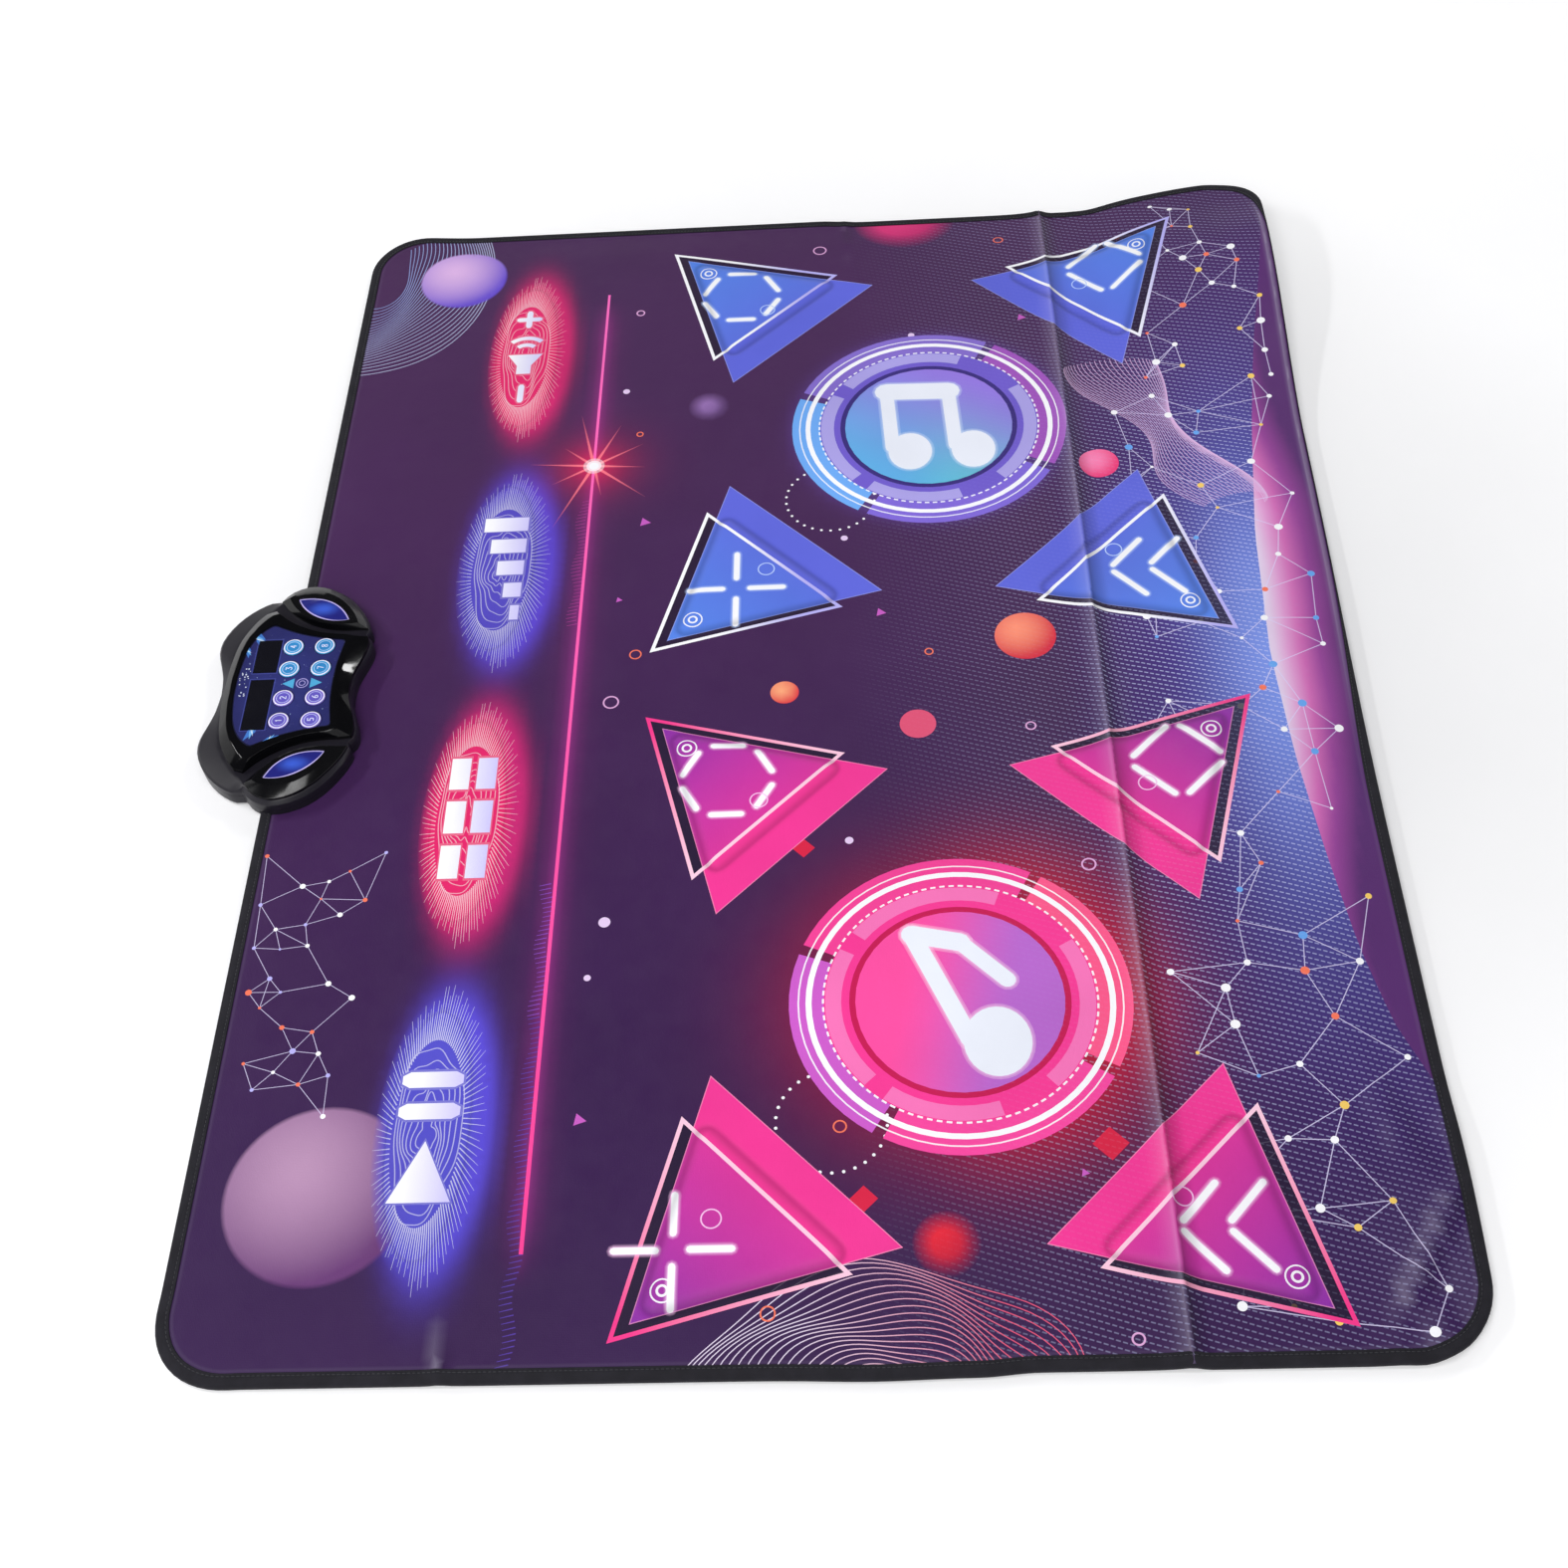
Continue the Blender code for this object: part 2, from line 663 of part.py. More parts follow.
def clamp_window():
    u = CLAMP_HALF_LENGTH + GAP
    return in_mat(rectangle((-u, u), (CLAMP_V[0] - GAP, CLAMP_V[1] + GAP)))


def mat_layer(name, low, thickness, holes, finish, edge=LAYER_INSET):
    outline = rounded_rectangle(MAT_LENGTH - 2 * edge, MAT_WIDTH - 2 * edge, MAT_CORNER_RADIUS - edge)
    return shade(plate(name, outline, low, low + thickness, holes), finish)


def make_mat_layers():
    slots = [keel_window(), ribbon_window()]
    chambers = pad_windows(-SPACER_LEDGE)
    windows = pad_windows(PAD_GAP)
    mat_layer("base_sheet", 0, BASE_SHEET_THICKNESS, [clamp_window()], BACKING, BINDING_FLAP + GAP)
    mat_layer("lower_circuit_film", LOWER_FILM_LOW, CIRCUIT_FILM_THICKNESS, [clamp_window()], FILM)
    mat_layer("spacer_foam", SPACER_LOW, SPACER_THICKNESS, slots + chambers, FOAM)
    mat_layer("upper_circuit_film", UPPER_FILM_LOW, CIRCUIT_FILM_THICKNESS, slots, FILM)
    mat_layer("cover_sheet", COVER_LOW, COVER_THICKNESS, slots + windows, COVER)


def binding_profile():
    """Section of the binding tape, folded round the mat's edge: distance inwards and height."""
    radius = BINDING_EDGE_RADIUS
    outer = arc((radius, radius), radius, 1.5 * math.pi, math.pi, 2)
    outer += arc((radius, BINDING_TOP - radius), radius, math.pi, 0.5 * math.pi, 2)
    inner_top = COVER_TOP + GAP
    slope = BINDING_TAPE / 4
    inner = [
        (BINDING_FLAP, BINDING_TOP - BINDING_TOP_FLAP / 3),
        (BINDING_FLAP, inner_top),
        (BINDING_TAPE + slope, inner_top),
        (BINDING_TAPE, inner_top - slope),
        (BINDING_TAPE, BASE_SHEET_THICKNESS + slope),
        (BINDING_TAPE + slope, BASE_SHEET_THICKNESS),
        (BINDING_FLAP, BASE_SHEET_THICKNESS),
        (BINDING_FLAP, 0),
    ]
    return outer + [(BINDING_FLAP - BINDING_TOP_FLAP / 2, BINDING_TOP)] + inner


def make_binding():
    """The tape's section swept round the mat."""
    section = bpy.data.curves.new("binding section", "CURVE")
    section.dimensions = "2D"
    spline = section.splines.new("POLY")
    points = binding_profile()
    spline.points.add(len(points) - 1)
    spline.use_cyclic_u = True
    for target, (inward, height) in zip(spline.points, points):
        target.co = (inward, height, 0, 1)
    guide = as_cutter(add_object("binding_section", section))
    path = bpy.data.curves.new("edge_binding", "CURVE")
    path.dimensions = "2D"
    path.fill_mode = "NONE"
    path.bevel_mode = "OBJECT"
    path.bevel_object = guide
    line = rounded_rectangle(MAT_LENGTH, MAT_WIDTH, MAT_CORNER_RADIUS)
    spline = path.splines.new("POLY")
    spline.points.add(len(line) - 1)
    spline.use_cyclic_u = True
    for target, (x, y) in zip(spline.points, line):
        target.co = (x, y, 0, 1)
    add_object("edge_binding", path).data.materials.append(BINDING)


def make_pads():
    """Each pad hangs over the upper film by its own travel."""
    for name, corner, middle in pad_places():
        low, high = COVER_LOW + STEP_PAD_TRAVEL, COVER_TOP + STEP_PAD_RISE
        pad = plate(name, pad_outline(corner), low, high, location=middle)
        finish = PINK_PAD if name.startswith("left") else BLUE_PAD
        shade(bevel_edges(pad, STEP_PAD_EDGE), finish)
    for name, middle in setting_pad_places():
        outline = oval(SETTING_PAD_LENGTH, SETTING_PAD_WIDTH)
        low = COVER_LOW + SETTING_PAD_TRAVEL
        pad = plate(f"{name}_pad", outline, low, COVER_TOP, location=middle)
        finish = PINK_PAD if name in ("volume", "mode") else BLUE_PAD
        shade(bevel_edges(pad, SETTING_PAD_EDGE, 1), finish)


# Control box shells

def screw_floor(v):
    """Height of the floor's underside at a case screw: over the mat it is the shelf."""
    return BOX_LOW if v > STEP_WALL_V else SHELF_LOW


def screw_ceiling(v):
    """Height of the blind end of a case screw's bore: lower under the sloping skirt on the outer side."""
    return SKIRT_SCREW_TOP if v > STEP_WALL_V else DECK_HEIGHT - DECK_THICKNESS


def foot_rings():
    """The lower case's outside: a small chamfer at the floor, then straight up to the parting line."""
    foot = box_outline(0)
    return [(inset(foot, FOOT_CHAMFER), BOX_LOW), (foot, BOX_LOW + BOX_WALL), (foot, PARTING_HEIGHT)]


def make_bottom_case(frame):
    foot = box_outline(0)
    case = loft("bottom_case", foot_rings(), frame)
    reach = BOX_LENGTH
    flap_edge = STEP_WALL_V - BINDING_FLAP - 2 * GAP
    flap_middle = STEP_WALL_V - BINDING_FLAP / 2
    cut(case, box("mat_cut", (-reach, -reach, -OVERSHOOT), (reach, flap_middle, MAT_SIDE_LOW), frame))
    cut(case, box("binding_cut", (-reach, flap_edge, -OVERSHOOT), (reach, STEP_WALL_V, SHELF_LOW), frame))
    shelf = hollow_outline(foot, BOX_WALL)
    cut(case, loft("shelf_hollow", [(shelf, SHELF_TOP), (shelf, PARTING_HEIGHT + OVERSHOOT)], frame))
    well = hollow_outline(foot, BOX_WALL + WELL_STEP)
    well_cut = loft("well_hollow", [(well, FLOOR_TOP), (well, SHELF_TOP + OVERSHOOT)], frame)
    well_side = box("well_side", (-reach, STEP_WALL_V + BOX_WALL, 0), (reach, reach, DECK_HEIGHT), frame)
    cut(case, combine(well_cut, well_side, "INTERSECT"))
    add_case_fittings(case, frame)
    return shade(case, SATIN_BLACK)


def compartment_end():
    """How far out along V the battery compartment's walls reach."""
    return FIRST_CELL_V + (CELL_COUNT - 1) * CELL_PITCH + CELL_RADIUS + GAP


def add_case_fittings(case, frame):
    """Compartment walls, board posts, the keel under the mat side, and the holes through the floor."""
    post_span = (SHELF_TOP - OVERSHOOT, BOARD_LOW - GAP)
    wall_start = STEP_WALL_V + BOX_WALL / 2
    for side in (-1, 1):
        ends = sorted((side * COMPARTMENT_REACH, side * (COMPARTMENT_REACH + COMPARTMENT_WALL)))
        low = (ends[0], wall_start, FLOOR_TOP + 2 * GAP)
        high = (ends[1], compartment_end(), CONTACT_TOP)
        combine(case, box(f"cell_wall_{side}", low, high, frame), "UNION")
        for row, v in (("mat", BOARD_V[0] + POST_RADIUS), ("step", STEP_WALL_V - BOX_WALL)):
            centre = (side * (BOARD_HALF_LENGTH - POST_RADIUS), v)
            combine(case, rod(f"post_{row}_{side}", POST_RADIUS, post_span, centre, frame), "UNION")
    keel_low = LOWER_FILM_LOW + CIRCUIT_FILM_THICKNESS + GAP
    keel = box(
        "keel",
        (-KEEL_HALF_LENGTH, KEEL_V - KEEL_THICKNESS / 2, keel_low),
        (KEEL_HALF_LENGTH, KEEL_V + KEEL_THICKNESS / 2, SHELF_LOW + OVERSHOOT),
        frame,
    )
    combine(case, keel, "UNION")
    door = DOOR_HALF_LENGTH + GAP
    door_low = STEP_WALL_V + BOX_WALL + GAP
    cut(case, box("door_opening", (-door, door_low, 0), (door, BOX_WIDTH, FLOOR_TOP + GAP), frame))
    make_floor_holes(case, frame)


def make_floor_holes(case, frame):
    for index, centre in enumerate(drawn(CASE_SCREW_PLACES)):
        floor = screw_floor(centre[1])
        hole_top, sink_top = floor + 2 * BOX_FLOOR, floor + SCREW_HEAD_HEIGHT + 2 * GAP
        cut(case, rod(f"case_hole_{index}", SCREW_RADIUS + GAP, (0, hole_top), centre, frame))
        cut(case, rod(f"case_sink_{index}", SCREW_HEAD_RADIUS + GAP, (0, sink_top), centre, frame))
    for side in (-1, 1):
        centre = (side * CLAMP_SCREW_U, KEEL_V)
        cut(case, rod(f"keel_hole_{side}", SCREW_RADIUS + GAP, (0, SHELF_LOW), centre, frame))
    half = RIBBON_WIDTH / 2 + GAP
    deep = RIBBON_THICKNESS / 2 + GAP
    low, high = (RIBBON_U - half, KEEL_V - deep, 0), (RIBBON_U + half, KEEL_V + deep, DECK_HEIGHT)
    cut(case, box("ribbon_slot", low, high, frame))
    reach = SPEAKER_RADIUS / 2
    speaker_u, speaker_v = place(SPEAKER_PLACE)
    for index in range(SPEAKER_SLOT_COUNT):
        u = speaker_u + (index - (SPEAKER_SLOT_COUNT - 1) / 2) * SPEAKER_SLOT_PITCH
        low = (u - SPEAKER_SLOT_WIDTH / 2, speaker_v - reach, 0)
        high = (u + SPEAKER_SLOT_WIDTH / 2, speaker_v + reach, FLOOR_TOP + OVERSHOOT)
        cut(case, box(f"speaker_slot_{index}", low, high, frame))


def make_top_case(frame):
    foot, deck = box_outline(0), box_outline(1)
    rings = [(foot, TOP_CASE_LOW)]
    for inward, upward in SHOULDER_CURVE:
        height = SHOULDER_HEIGHT + (DECK_HEIGHT - SHOULDER_HEIGHT) * upward
        rings.append((blend_outlines(foot, deck, inward), height))
    case = loft("top_case", rings, frame)
    inner_foot, inner_deck = hollow_outline(foot, BOX_WALL), hollow_outline(deck, 2 * BOX_WALL)
    ceiling = DECK_HEIGHT - DECK_THICKNESS
    hollow_rings = [
        (inner_foot, TOP_CASE_LOW - OVERSHOOT),
        (inner_foot, SHOULDER_HEIGHT - BOX_WALL),
        (inner_deck, ceiling),
    ]
    cut(case, loft("top_hollow", hollow_rings, frame))
    for index, centre in enumerate(drawn(CASE_SCREW_PLACES)):
        low, bore_top = screw_floor(centre[1]) + BOX_FLOOR + GAP, screw_ceiling(centre[1])
        boss_span = (low, bore_top + DECK_THICKNESS / 2)
        combine(case, rod(f"boss_{index}", SCREW_BOSS_RADIUS, boss_span, centre, frame), "UNION")
        cut(case, rod(f"boss_bore_{index}", SCREW_RADIUS + GAP, (low - OVERSHOOT, bore_top), centre, frame))
    half = BOARD_HALF_LENGTH + 2 * GAP
    low = (-half, BOARD_V[0] - 2 * GAP, DECK_HEIGHT - 2 * DECK_THICKNESS)
    high = (half, BOARD_V[1] + 2 * GAP, DECK_HEIGHT + OVERSHOOT)
    cut(case, box("board_opening", low, high, frame))
    return shade(case, SATIN_BLACK)


def key_places():
    return drawn([(u, v) for v in KEY_ROWS for u in KEY_COLUMNS])


def key_holes():
    hole = oval(2 * (KEY_RADIUS + KEY_GAP), 2 * (KEY_RADIUS + KEY_GAP), KEY_STEPS)
    return [moved(hole, place) for place in key_places()]


def window_cutouts(grown):
    """Outlines of the two display windows, moved out by grown."""
    result = []
    for columns in WINDOW_COLUMNS.values():
        (low_u, low_v), (high_u, high_v) = drawn(zip(columns, WINDOW_ROWS))
        result.append(rectangle((low_u - grown, high_u + grown), (low_v - grown, high_v + grown)))
    return result


def make_centre_trim(frame):
    foot, top = trim_outline(), trim_top_outline()
    height = TRIM_HEIGHT - TRIM_LOW
    rings = [(foot, TRIM_LOW)]
    for inward, upward in TRIM_CURVE:
        rings.append((blend_outlines(foot, top, inward), TRIM_LOW + upward * height))
    trim = loft("centre_trim", rings, frame)
    inner_foot, inner_top = hollow_outline(foot, TRIM_WALL), hollow_outline(top, TRIM_WALL)
    hollow_rings = [
        (inner_foot, TRIM_LOW - OVERSHOOT),
        (inner_foot, TRIM_LOW + TRIM_CURVE[0][1] * height),
        (blend_outlines(inner_foot, inner_top, TRIM_HOLLOW_SLOPE), TRIM_DECK_LOW),
    ]
    cut(trim, loft("trim_hollow", hollow_rings, frame))
    recess = inset(panel_outline(), -GAP)
    cut(trim, loft("panel_recess", [(recess, TRIM_DECK_TOP), (recess, TRIM_HEIGHT + OVERSHOOT)], frame))
    for index, hole in enumerate(key_holes() + window_cutouts(-WINDOW_LEDGE)):
        cut(trim, loft(f"trim_hole_{index}", [(hole, TRIM_LOW), (hole, TRIM_HEIGHT)], frame))
    return shade(trim, GLOSS_BLACK)


def make_panel(frame):
    holes = key_holes() + window_cutouts(GAP)
    shade(plate("control_panel", panel_outline(), PANEL_LOW, PANEL_TOP, holes, frame), PANEL_BLUE)
    for name, outline in zip(WINDOW_COLUMNS, window_cutouts(0)):
        shade(plate(f"{name}_window", outline, PANEL_LOW, PANEL_TOP, (), frame), SMOKED)


def mirror_outline(outline, side):
    """The right-hand outline for side +1, its mirror image for side -1, both counterclockwise."""
    return outline if side > 0 else [(-u, v) for u, v in reversed(outline)]


def make_wing(name, side, frame):
    def light(grown):
        return mirror_outline(light_outline(grown), side)

    foot, top = mirror_outline(wing_outline(), side), light(LIGHT_BORDER)
    height = WING_HEIGHT - TRIM_LOW
    rings = [(foot, TRIM_LOW)]
    for inward, upward in WING_CURVE:
        rings.append((blend_outlines(foot, top, inward), TRIM_LOW + upward * height))
    wing = loft(f"{name}_wing_cover", rings, frame)
    inner = inset(foot, WING_WALL, 1)
    ledge = WING_HEIGHT - LIGHT_LENS_THICKNESS - GAP
    hollow_rings = [
        (inner, TRIM_LOW - OVERSHOOT),
        (inner, TRIM_LOW + WING_HOLLOW_RISE * height),
        (light(LIGHT_LEDGE), ledge - WING_WALL),
    ]
    cut(wing, loft(f"{name}_wing_hollow", hollow_rings, frame))
    recess, shine = light(GAP), light(-LIGHT_LEDGE)
    cut(wing, loft(f"{name}_lens_recess", [(recess, ledge), (recess, WING_HEIGHT + OVERSHOOT)], frame))
    cut(wing, loft(f"{name}_light_hole", [(shine, TRIM_LOW), (shine, WING_HEIGHT)], frame))
    shade(wing, GLOSS_BLACK)
    shade(plate(f"{name}_light_lens", light(0), ledge + GAP, WING_HEIGHT, (), frame), LENS_BLUE)
    board_top = TRIM_LOW + LIGHT_BOARD_THICKNESS
    shade(plate(f"{name}_light_board", shine, TRIM_LOW, board_top, (), frame), BOARD_GREEN)


# Keys and electronics

def make_keys(frame):
    top = PANEL_TOP + KEY_RISE
    flange_top = TRIM_DECK_LOW - GAP
    low = MEMBRANE_TOP + KEY_TRAVEL + GAP
    profile = [
        (0, top),
        (KEY_RADIUS - KEY_EDGE, top),
        (KEY_RADIUS, top - KEY_EDGE),
        (KEY_RADIUS, flange_top),
        (KEY_FLANGE_RADIUS, flange_top),
        (KEY_FLANGE_RADIUS, flange_top - KEY_FLANGE_THICKNESS),
        (KEY_RADIUS / 2, flange_top - KEY_FLANGE_THICKNESS),
        (KEY_RADIUS / 2, low),
        (0, low),
    ]
    for index, (u, v) in enumerate(key_places()):
        key = turned(f"key_{index + 1}", profile, KEY_STEPS, (u, v, 0), frame)
        key.data.materials.append(KEY_BLUE if u > 0 else KEY_VIOLET)


def window_row():
    """Where the display windows start and end along V."""
    return [point[1] for point in drawn([(0, row) for row in WINDOW_ROWS])]


def make_electronics(frame):
    half = BOARD_HALF_LENGTH
    board = box("main_board", (-half, BOARD_V[0], BOARD_LOW), (half, BOARD_V[1], BOARD_TOP), frame)
    shade(board, BOARD_GREEN)
    low_v, high_v = BOARD_V[0] + OVERSHOOT, window_row()[0] - OVERSHOOT
    membrane = box("key_membrane", (-half, low_v, MEMBRANE_LOW), (half, high_v, MEMBRANE_TOP), frame)
    shade(membrane, RUBBER)
    low_v, high_v = window_row()
    display_top = TRIM_DECK_LOW - GAP
    display = box("display_module", (-half, low_v, MEMBRANE_LOW), (half, high_v, display_top), frame)
    shade(display, DISPLAY)
    speaker_low = FLOOR_TOP + GAP
    speaker = turned(
        "speaker",
        [
            (0, speaker_low + SPEAKER_HEIGHT),
            (SPEAKER_RADIUS * 0.5, speaker_low + SPEAKER_HEIGHT),
            (SPEAKER_RADIUS * 0.5, speaker_low + SPEAKER_HEIGHT * 0.5),
            (SPEAKER_RADIUS, speaker_low + SPEAKER_HEIGHT * 0.25),
            (SPEAKER_RADIUS, speaker_low),
            (SPEAKER_RADIUS * 0.85, speaker_low),
            (SPEAKER_RADIUS * 0.3, speaker_low + SPEAKER_HEIGHT * 0.3),
            (0, speaker_low + SPEAKER_HEIGHT * 0.25),
        ],
        ROUND_STEPS,
        (*place(SPEAKER_PLACE), 0),
        frame,
    )
    speaker.data.materials.append(STEEL)


def make_battery(index, frame):
    """One cell, turned, then laid along U. Neighbours face opposite ways."""
    profile = [
        (0, CELL_LENGTH + CELL_NUB_LENGTH),
        (CELL_NUB_RADIUS, CELL_LENGTH + CELL_NUB_LENGTH),
        (CELL_NUB_RADIUS, CELL_LENGTH),
        (CELL_RADIUS - OVERSHOOT / 2, CELL_LENGTH),
        (CELL_RADIUS, CELL_LENGTH - OVERSHOOT / 2),
        (CELL_RADIUS, OVERSHOOT / 2),
        (CELL_RADIUS - OVERSHOOT / 2, 0),
        (0, 0),
    ]
    way = 1 if index % 2 else -1
    start = -way * (CELL_LENGTH + CELL_NUB_LENGTH) / 2
    v = FIRST_CELL_V + index * CELL_PITCH
    cell = turned(f"battery_{index + 1}", profile, SMALL_ROUND_STEPS + 4, (start, v, CELL_HEIGHT), frame)
    cell.rotation_euler = (0, way * math.pi / 2, 0)
    cell.data.materials.append(CELL_SKIN)


def make_contacts(frame):
    """A strip at each end of the compartment, with a stub for the spring of each cell."""
    outside = COMPARTMENT_REACH - GAP
    inside = outside - CONTACT_THICKNESS
    stub_length = CONTACT_SPRING_LENGTH + CONTACT_THICKNESS / 2
    stub_middle = inside - CONTACT_SPRING_LENGTH + stub_length / 2
    low_v, high_v = STEP_WALL_V + BOX_WALL + GAP, compartment_end() - GAP
    for name, side in (("left", -1), ("right", 1)):
        ends = sorted((side * outside, side * inside))
        low, high = (ends[0], low_v, FLOOR_TOP + GAP), (ends[1], high_v, CONTACT_TOP)
        strip = box(f"{name}_battery_contact", low, high, frame)
        for index in range(CELL_COUNT):
            span = (-stub_length / 2, stub_length / 2)
            stub = rod(f"{name}_spring_{index}", CONTACT_SPRING_RADIUS, span, (0, 0), frame)
            stub.rotation_euler = (0, math.pi / 2, 0)
            stub.location = (side * stub_middle, FIRST_CELL_V + index * CELL_PITCH, CELL_HEIGHT)
            combine(strip, stub, "UNION")
        shade(strip, STEEL)


def make_battery_door(frame):
    """A flat door flush with the underside. Its outer end follows the box's outline."""
    low_v = STEP_WALL_V + BOX_WALL + 2 * GAP
    low, high = (-DOOR_HALF_LENGTH, low_v, BOX_LOW), (DOOR_HALF_LENGTH, BOX_WIDTH, FLOOR_TOP - GAP)
    door = box("battery_door", low, high, frame)
    combine(door, loft("door_end", foot_rings(), frame), "INTERSECT")
    return shade(door, SATIN_BLACK)


def make_screw(name, centre, head_low, length, frame):
    profile = [
        (0, head_low + length),
        (SCREW_RADIUS * 0.6, head_low + length),
        (SCREW_RADIUS, head_low + length - SCREW_RADIUS),
        (SCREW_RADIUS, head_low + SCREW_HEAD_HEIGHT),
        (SCREW_HEAD_RADIUS, head_low + SCREW_HEAD_HEIGHT),
        (SCREW_HEAD_RADIUS, head_low + SCREW_HEAD_HEIGHT / 3),
        (SCREW_HEAD_RADIUS * 0.8, head_low),
        (0, head_low),
    ]
    screw = turned(name, profile, SMALL_ROUND_STEPS, (*centre, 0), frame)
    screw.data.materials.append(STEEL)


def make_fasteners(frame):
    for index, centre in enumerate(drawn(CASE_SCREW_PLACES)):
        low = screw_floor(centre[1]) + GAP
        length = screw_ceiling(centre[1]) - GAP - low
        make_screw(f"case_screw_{index + 1}", centre, low, length, frame)
    clamp_top = LOWER_FILM_LOW + CIRCUIT_FILM_THICKNESS
    low, high = (-CLAMP_HALF_LENGTH, CLAMP_V[0], 0), (CLAMP_HALF_LENGTH, CLAMP_V[1], clamp_top)
    clamp = box("clamp_plate", low, high, frame)
    hole_span = (-OVERSHOOT, clamp_top + OVERSHOOT)
    sink_span = (-OVERSHOOT, SCREW_HEAD_HEIGHT + GAP)
    for index, side in enumerate((-1, 1)):
        centre = (side * CLAMP_SCREW_U, KEEL_V)
        cut(clamp, rod(f"clamp_hole_{side}", SCREW_RADIUS + GAP, hole_span, centre, frame))
        cut(clamp, rod(f"clamp_sink_{side}", SCREW_HEAD_RADIUS + GAP, sink_span, centre, frame))
        make_screw(f"clamp_screw_{index + 1}", centre, 0, SHELF_LOW - GAP, frame)
    shade(clamp, SATIN_BLACK)


def make_feet(frame):
    for name, station in FOOT_PLACES.items():
        centre = place(station)
        shade(cylinder(f"{name}_rubber_foot", FOOT_RADIUS, 0, FOOT_HEIGHT, centre, frame), RUBBER)


def make_ribbon(frame):
    """Flat strip from the upper circuit film up to the underside of the main board."""
    low, high = SPACER_LOW, BOARD_LOW - GAP
    thick = RIBBON_THICKNESS
    outline = [
        (-thick / 2, low),
        (thick / 2, low),
        (thick / 2, high - thick),
        (RIBBON_FOOT, high - thick),
        (RIBBON_FOOT, high),
        (-thick / 2, high),
    ]
    ribbon = plate("ribbon_tail", outline, -RIBBON_WIDTH / 2, RIBBON_WIDTH / 2, (), frame)
    ribbon.location = (RIBBON_U, KEEL_V, 0)
    ribbon.rotation_euler = (math.pi / 2, 0, math.pi / 2)
    shade(ribbon, FILM)


def make_control_box():
    frame = bpy.data.objects.new("control_box_frame", None)
    PARTS.objects.link(frame)
    frame.location = (BOX_X, BOX_Y, 0)
    make_bottom_case(frame)
    make_top_case(frame)
    make_centre_trim(frame)
    make_panel(frame)
    make_wing("left", -1, frame)
    make_wing("right", 1, frame)
    make_keys(frame)
    make_electronics(frame)
    for index in range(CELL_COUNT):
        make_battery(index, frame)
    make_contacts(frame)
    make_battery_door(frame)
    make_fasteners(frame)
    make_feet(frame)
    make_ribbon(frame)


empty_scene()
PARTS = new_collection("electronic_dance_mat")
CUTTERS = new_collection("cutters")
BACKING = material("backing", (0.05, 0.05, 0.055), 0.9)
FILM = material("circuit_film", (0.75, 0.76, 0.72), 0.35)
FOAM = material("foam", (0.8, 0.8, 0.78), 0.95)
COVER = material("cover_print", (0.07, 0.03, 0.1), 0.4)
BINDING = material("binding", (0.012, 0.012, 0.014), 0.75)
PINK_PAD = material("pink_pad", (0.8, 0.05, 0.32), 0.4)
BLUE_PAD = material("blue_pad", (0.12, 0.19, 0.75), 0.4)
SATIN_BLACK = material("satin_black", (0.012, 0.012, 0.015), 0.42)
GLOSS_BLACK = material("gloss_black", (0.006, 0.006, 0.008), 0.12)
PANEL_BLUE = material("panel_print", (0.035, 0.045, 0.22), 0.25)
SMOKED = material("smoked_window", (0.01, 0.01, 0.016), 0.08)
LENS_BLUE = material("light_lens", (0.05, 0.07, 0.5), 0.1)
KEY_BLUE = material("key_blue", (0.1, 0.42, 0.75), 0.3)
KEY_VIOLET = material("key_violet", (0.3, 0.2, 0.7), 0.3)
BOARD_GREEN = material("circuit_board", (0.02, 0.16, 0.06), 0.5)
DISPLAY = material("display_block", (0.02, 0.02, 0.02), 0.3)
STEEL = material("steel", (0.6, 0.6, 0.62), 0.3, 1.0)
CELL_SKIN = material("battery_skin", (0.12, 0.12, 0.13), 0.35)
RUBBER = material("rubber", (0.03, 0.03, 0.03), 0.85)
make_mat_layers()
make_binding()
make_pads()
make_control_box()
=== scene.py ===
"""Electronic dance mat with its clip-on control box: the looks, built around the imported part.

The mat lies with its length along X, away from the camera, and the control box clamped on its +Y side.
Lengths in this script are in millimetres until they go into a mesh.
"""

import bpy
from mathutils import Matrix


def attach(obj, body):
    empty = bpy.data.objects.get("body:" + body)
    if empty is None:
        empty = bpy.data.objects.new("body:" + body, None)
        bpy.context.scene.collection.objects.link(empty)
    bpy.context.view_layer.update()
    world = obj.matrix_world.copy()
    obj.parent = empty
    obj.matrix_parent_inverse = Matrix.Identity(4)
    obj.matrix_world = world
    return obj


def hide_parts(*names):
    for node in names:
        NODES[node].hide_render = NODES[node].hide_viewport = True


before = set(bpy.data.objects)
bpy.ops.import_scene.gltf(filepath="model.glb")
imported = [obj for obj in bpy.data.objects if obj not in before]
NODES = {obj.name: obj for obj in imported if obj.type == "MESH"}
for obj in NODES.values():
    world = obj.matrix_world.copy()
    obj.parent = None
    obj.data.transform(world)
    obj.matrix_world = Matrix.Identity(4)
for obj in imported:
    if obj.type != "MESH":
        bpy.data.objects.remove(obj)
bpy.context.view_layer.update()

import math

import bpy
import numpy as np
from mathutils import Matrix, Vector
from mathutils.geometry import delaunay_2d_cdt

MM = 0.001

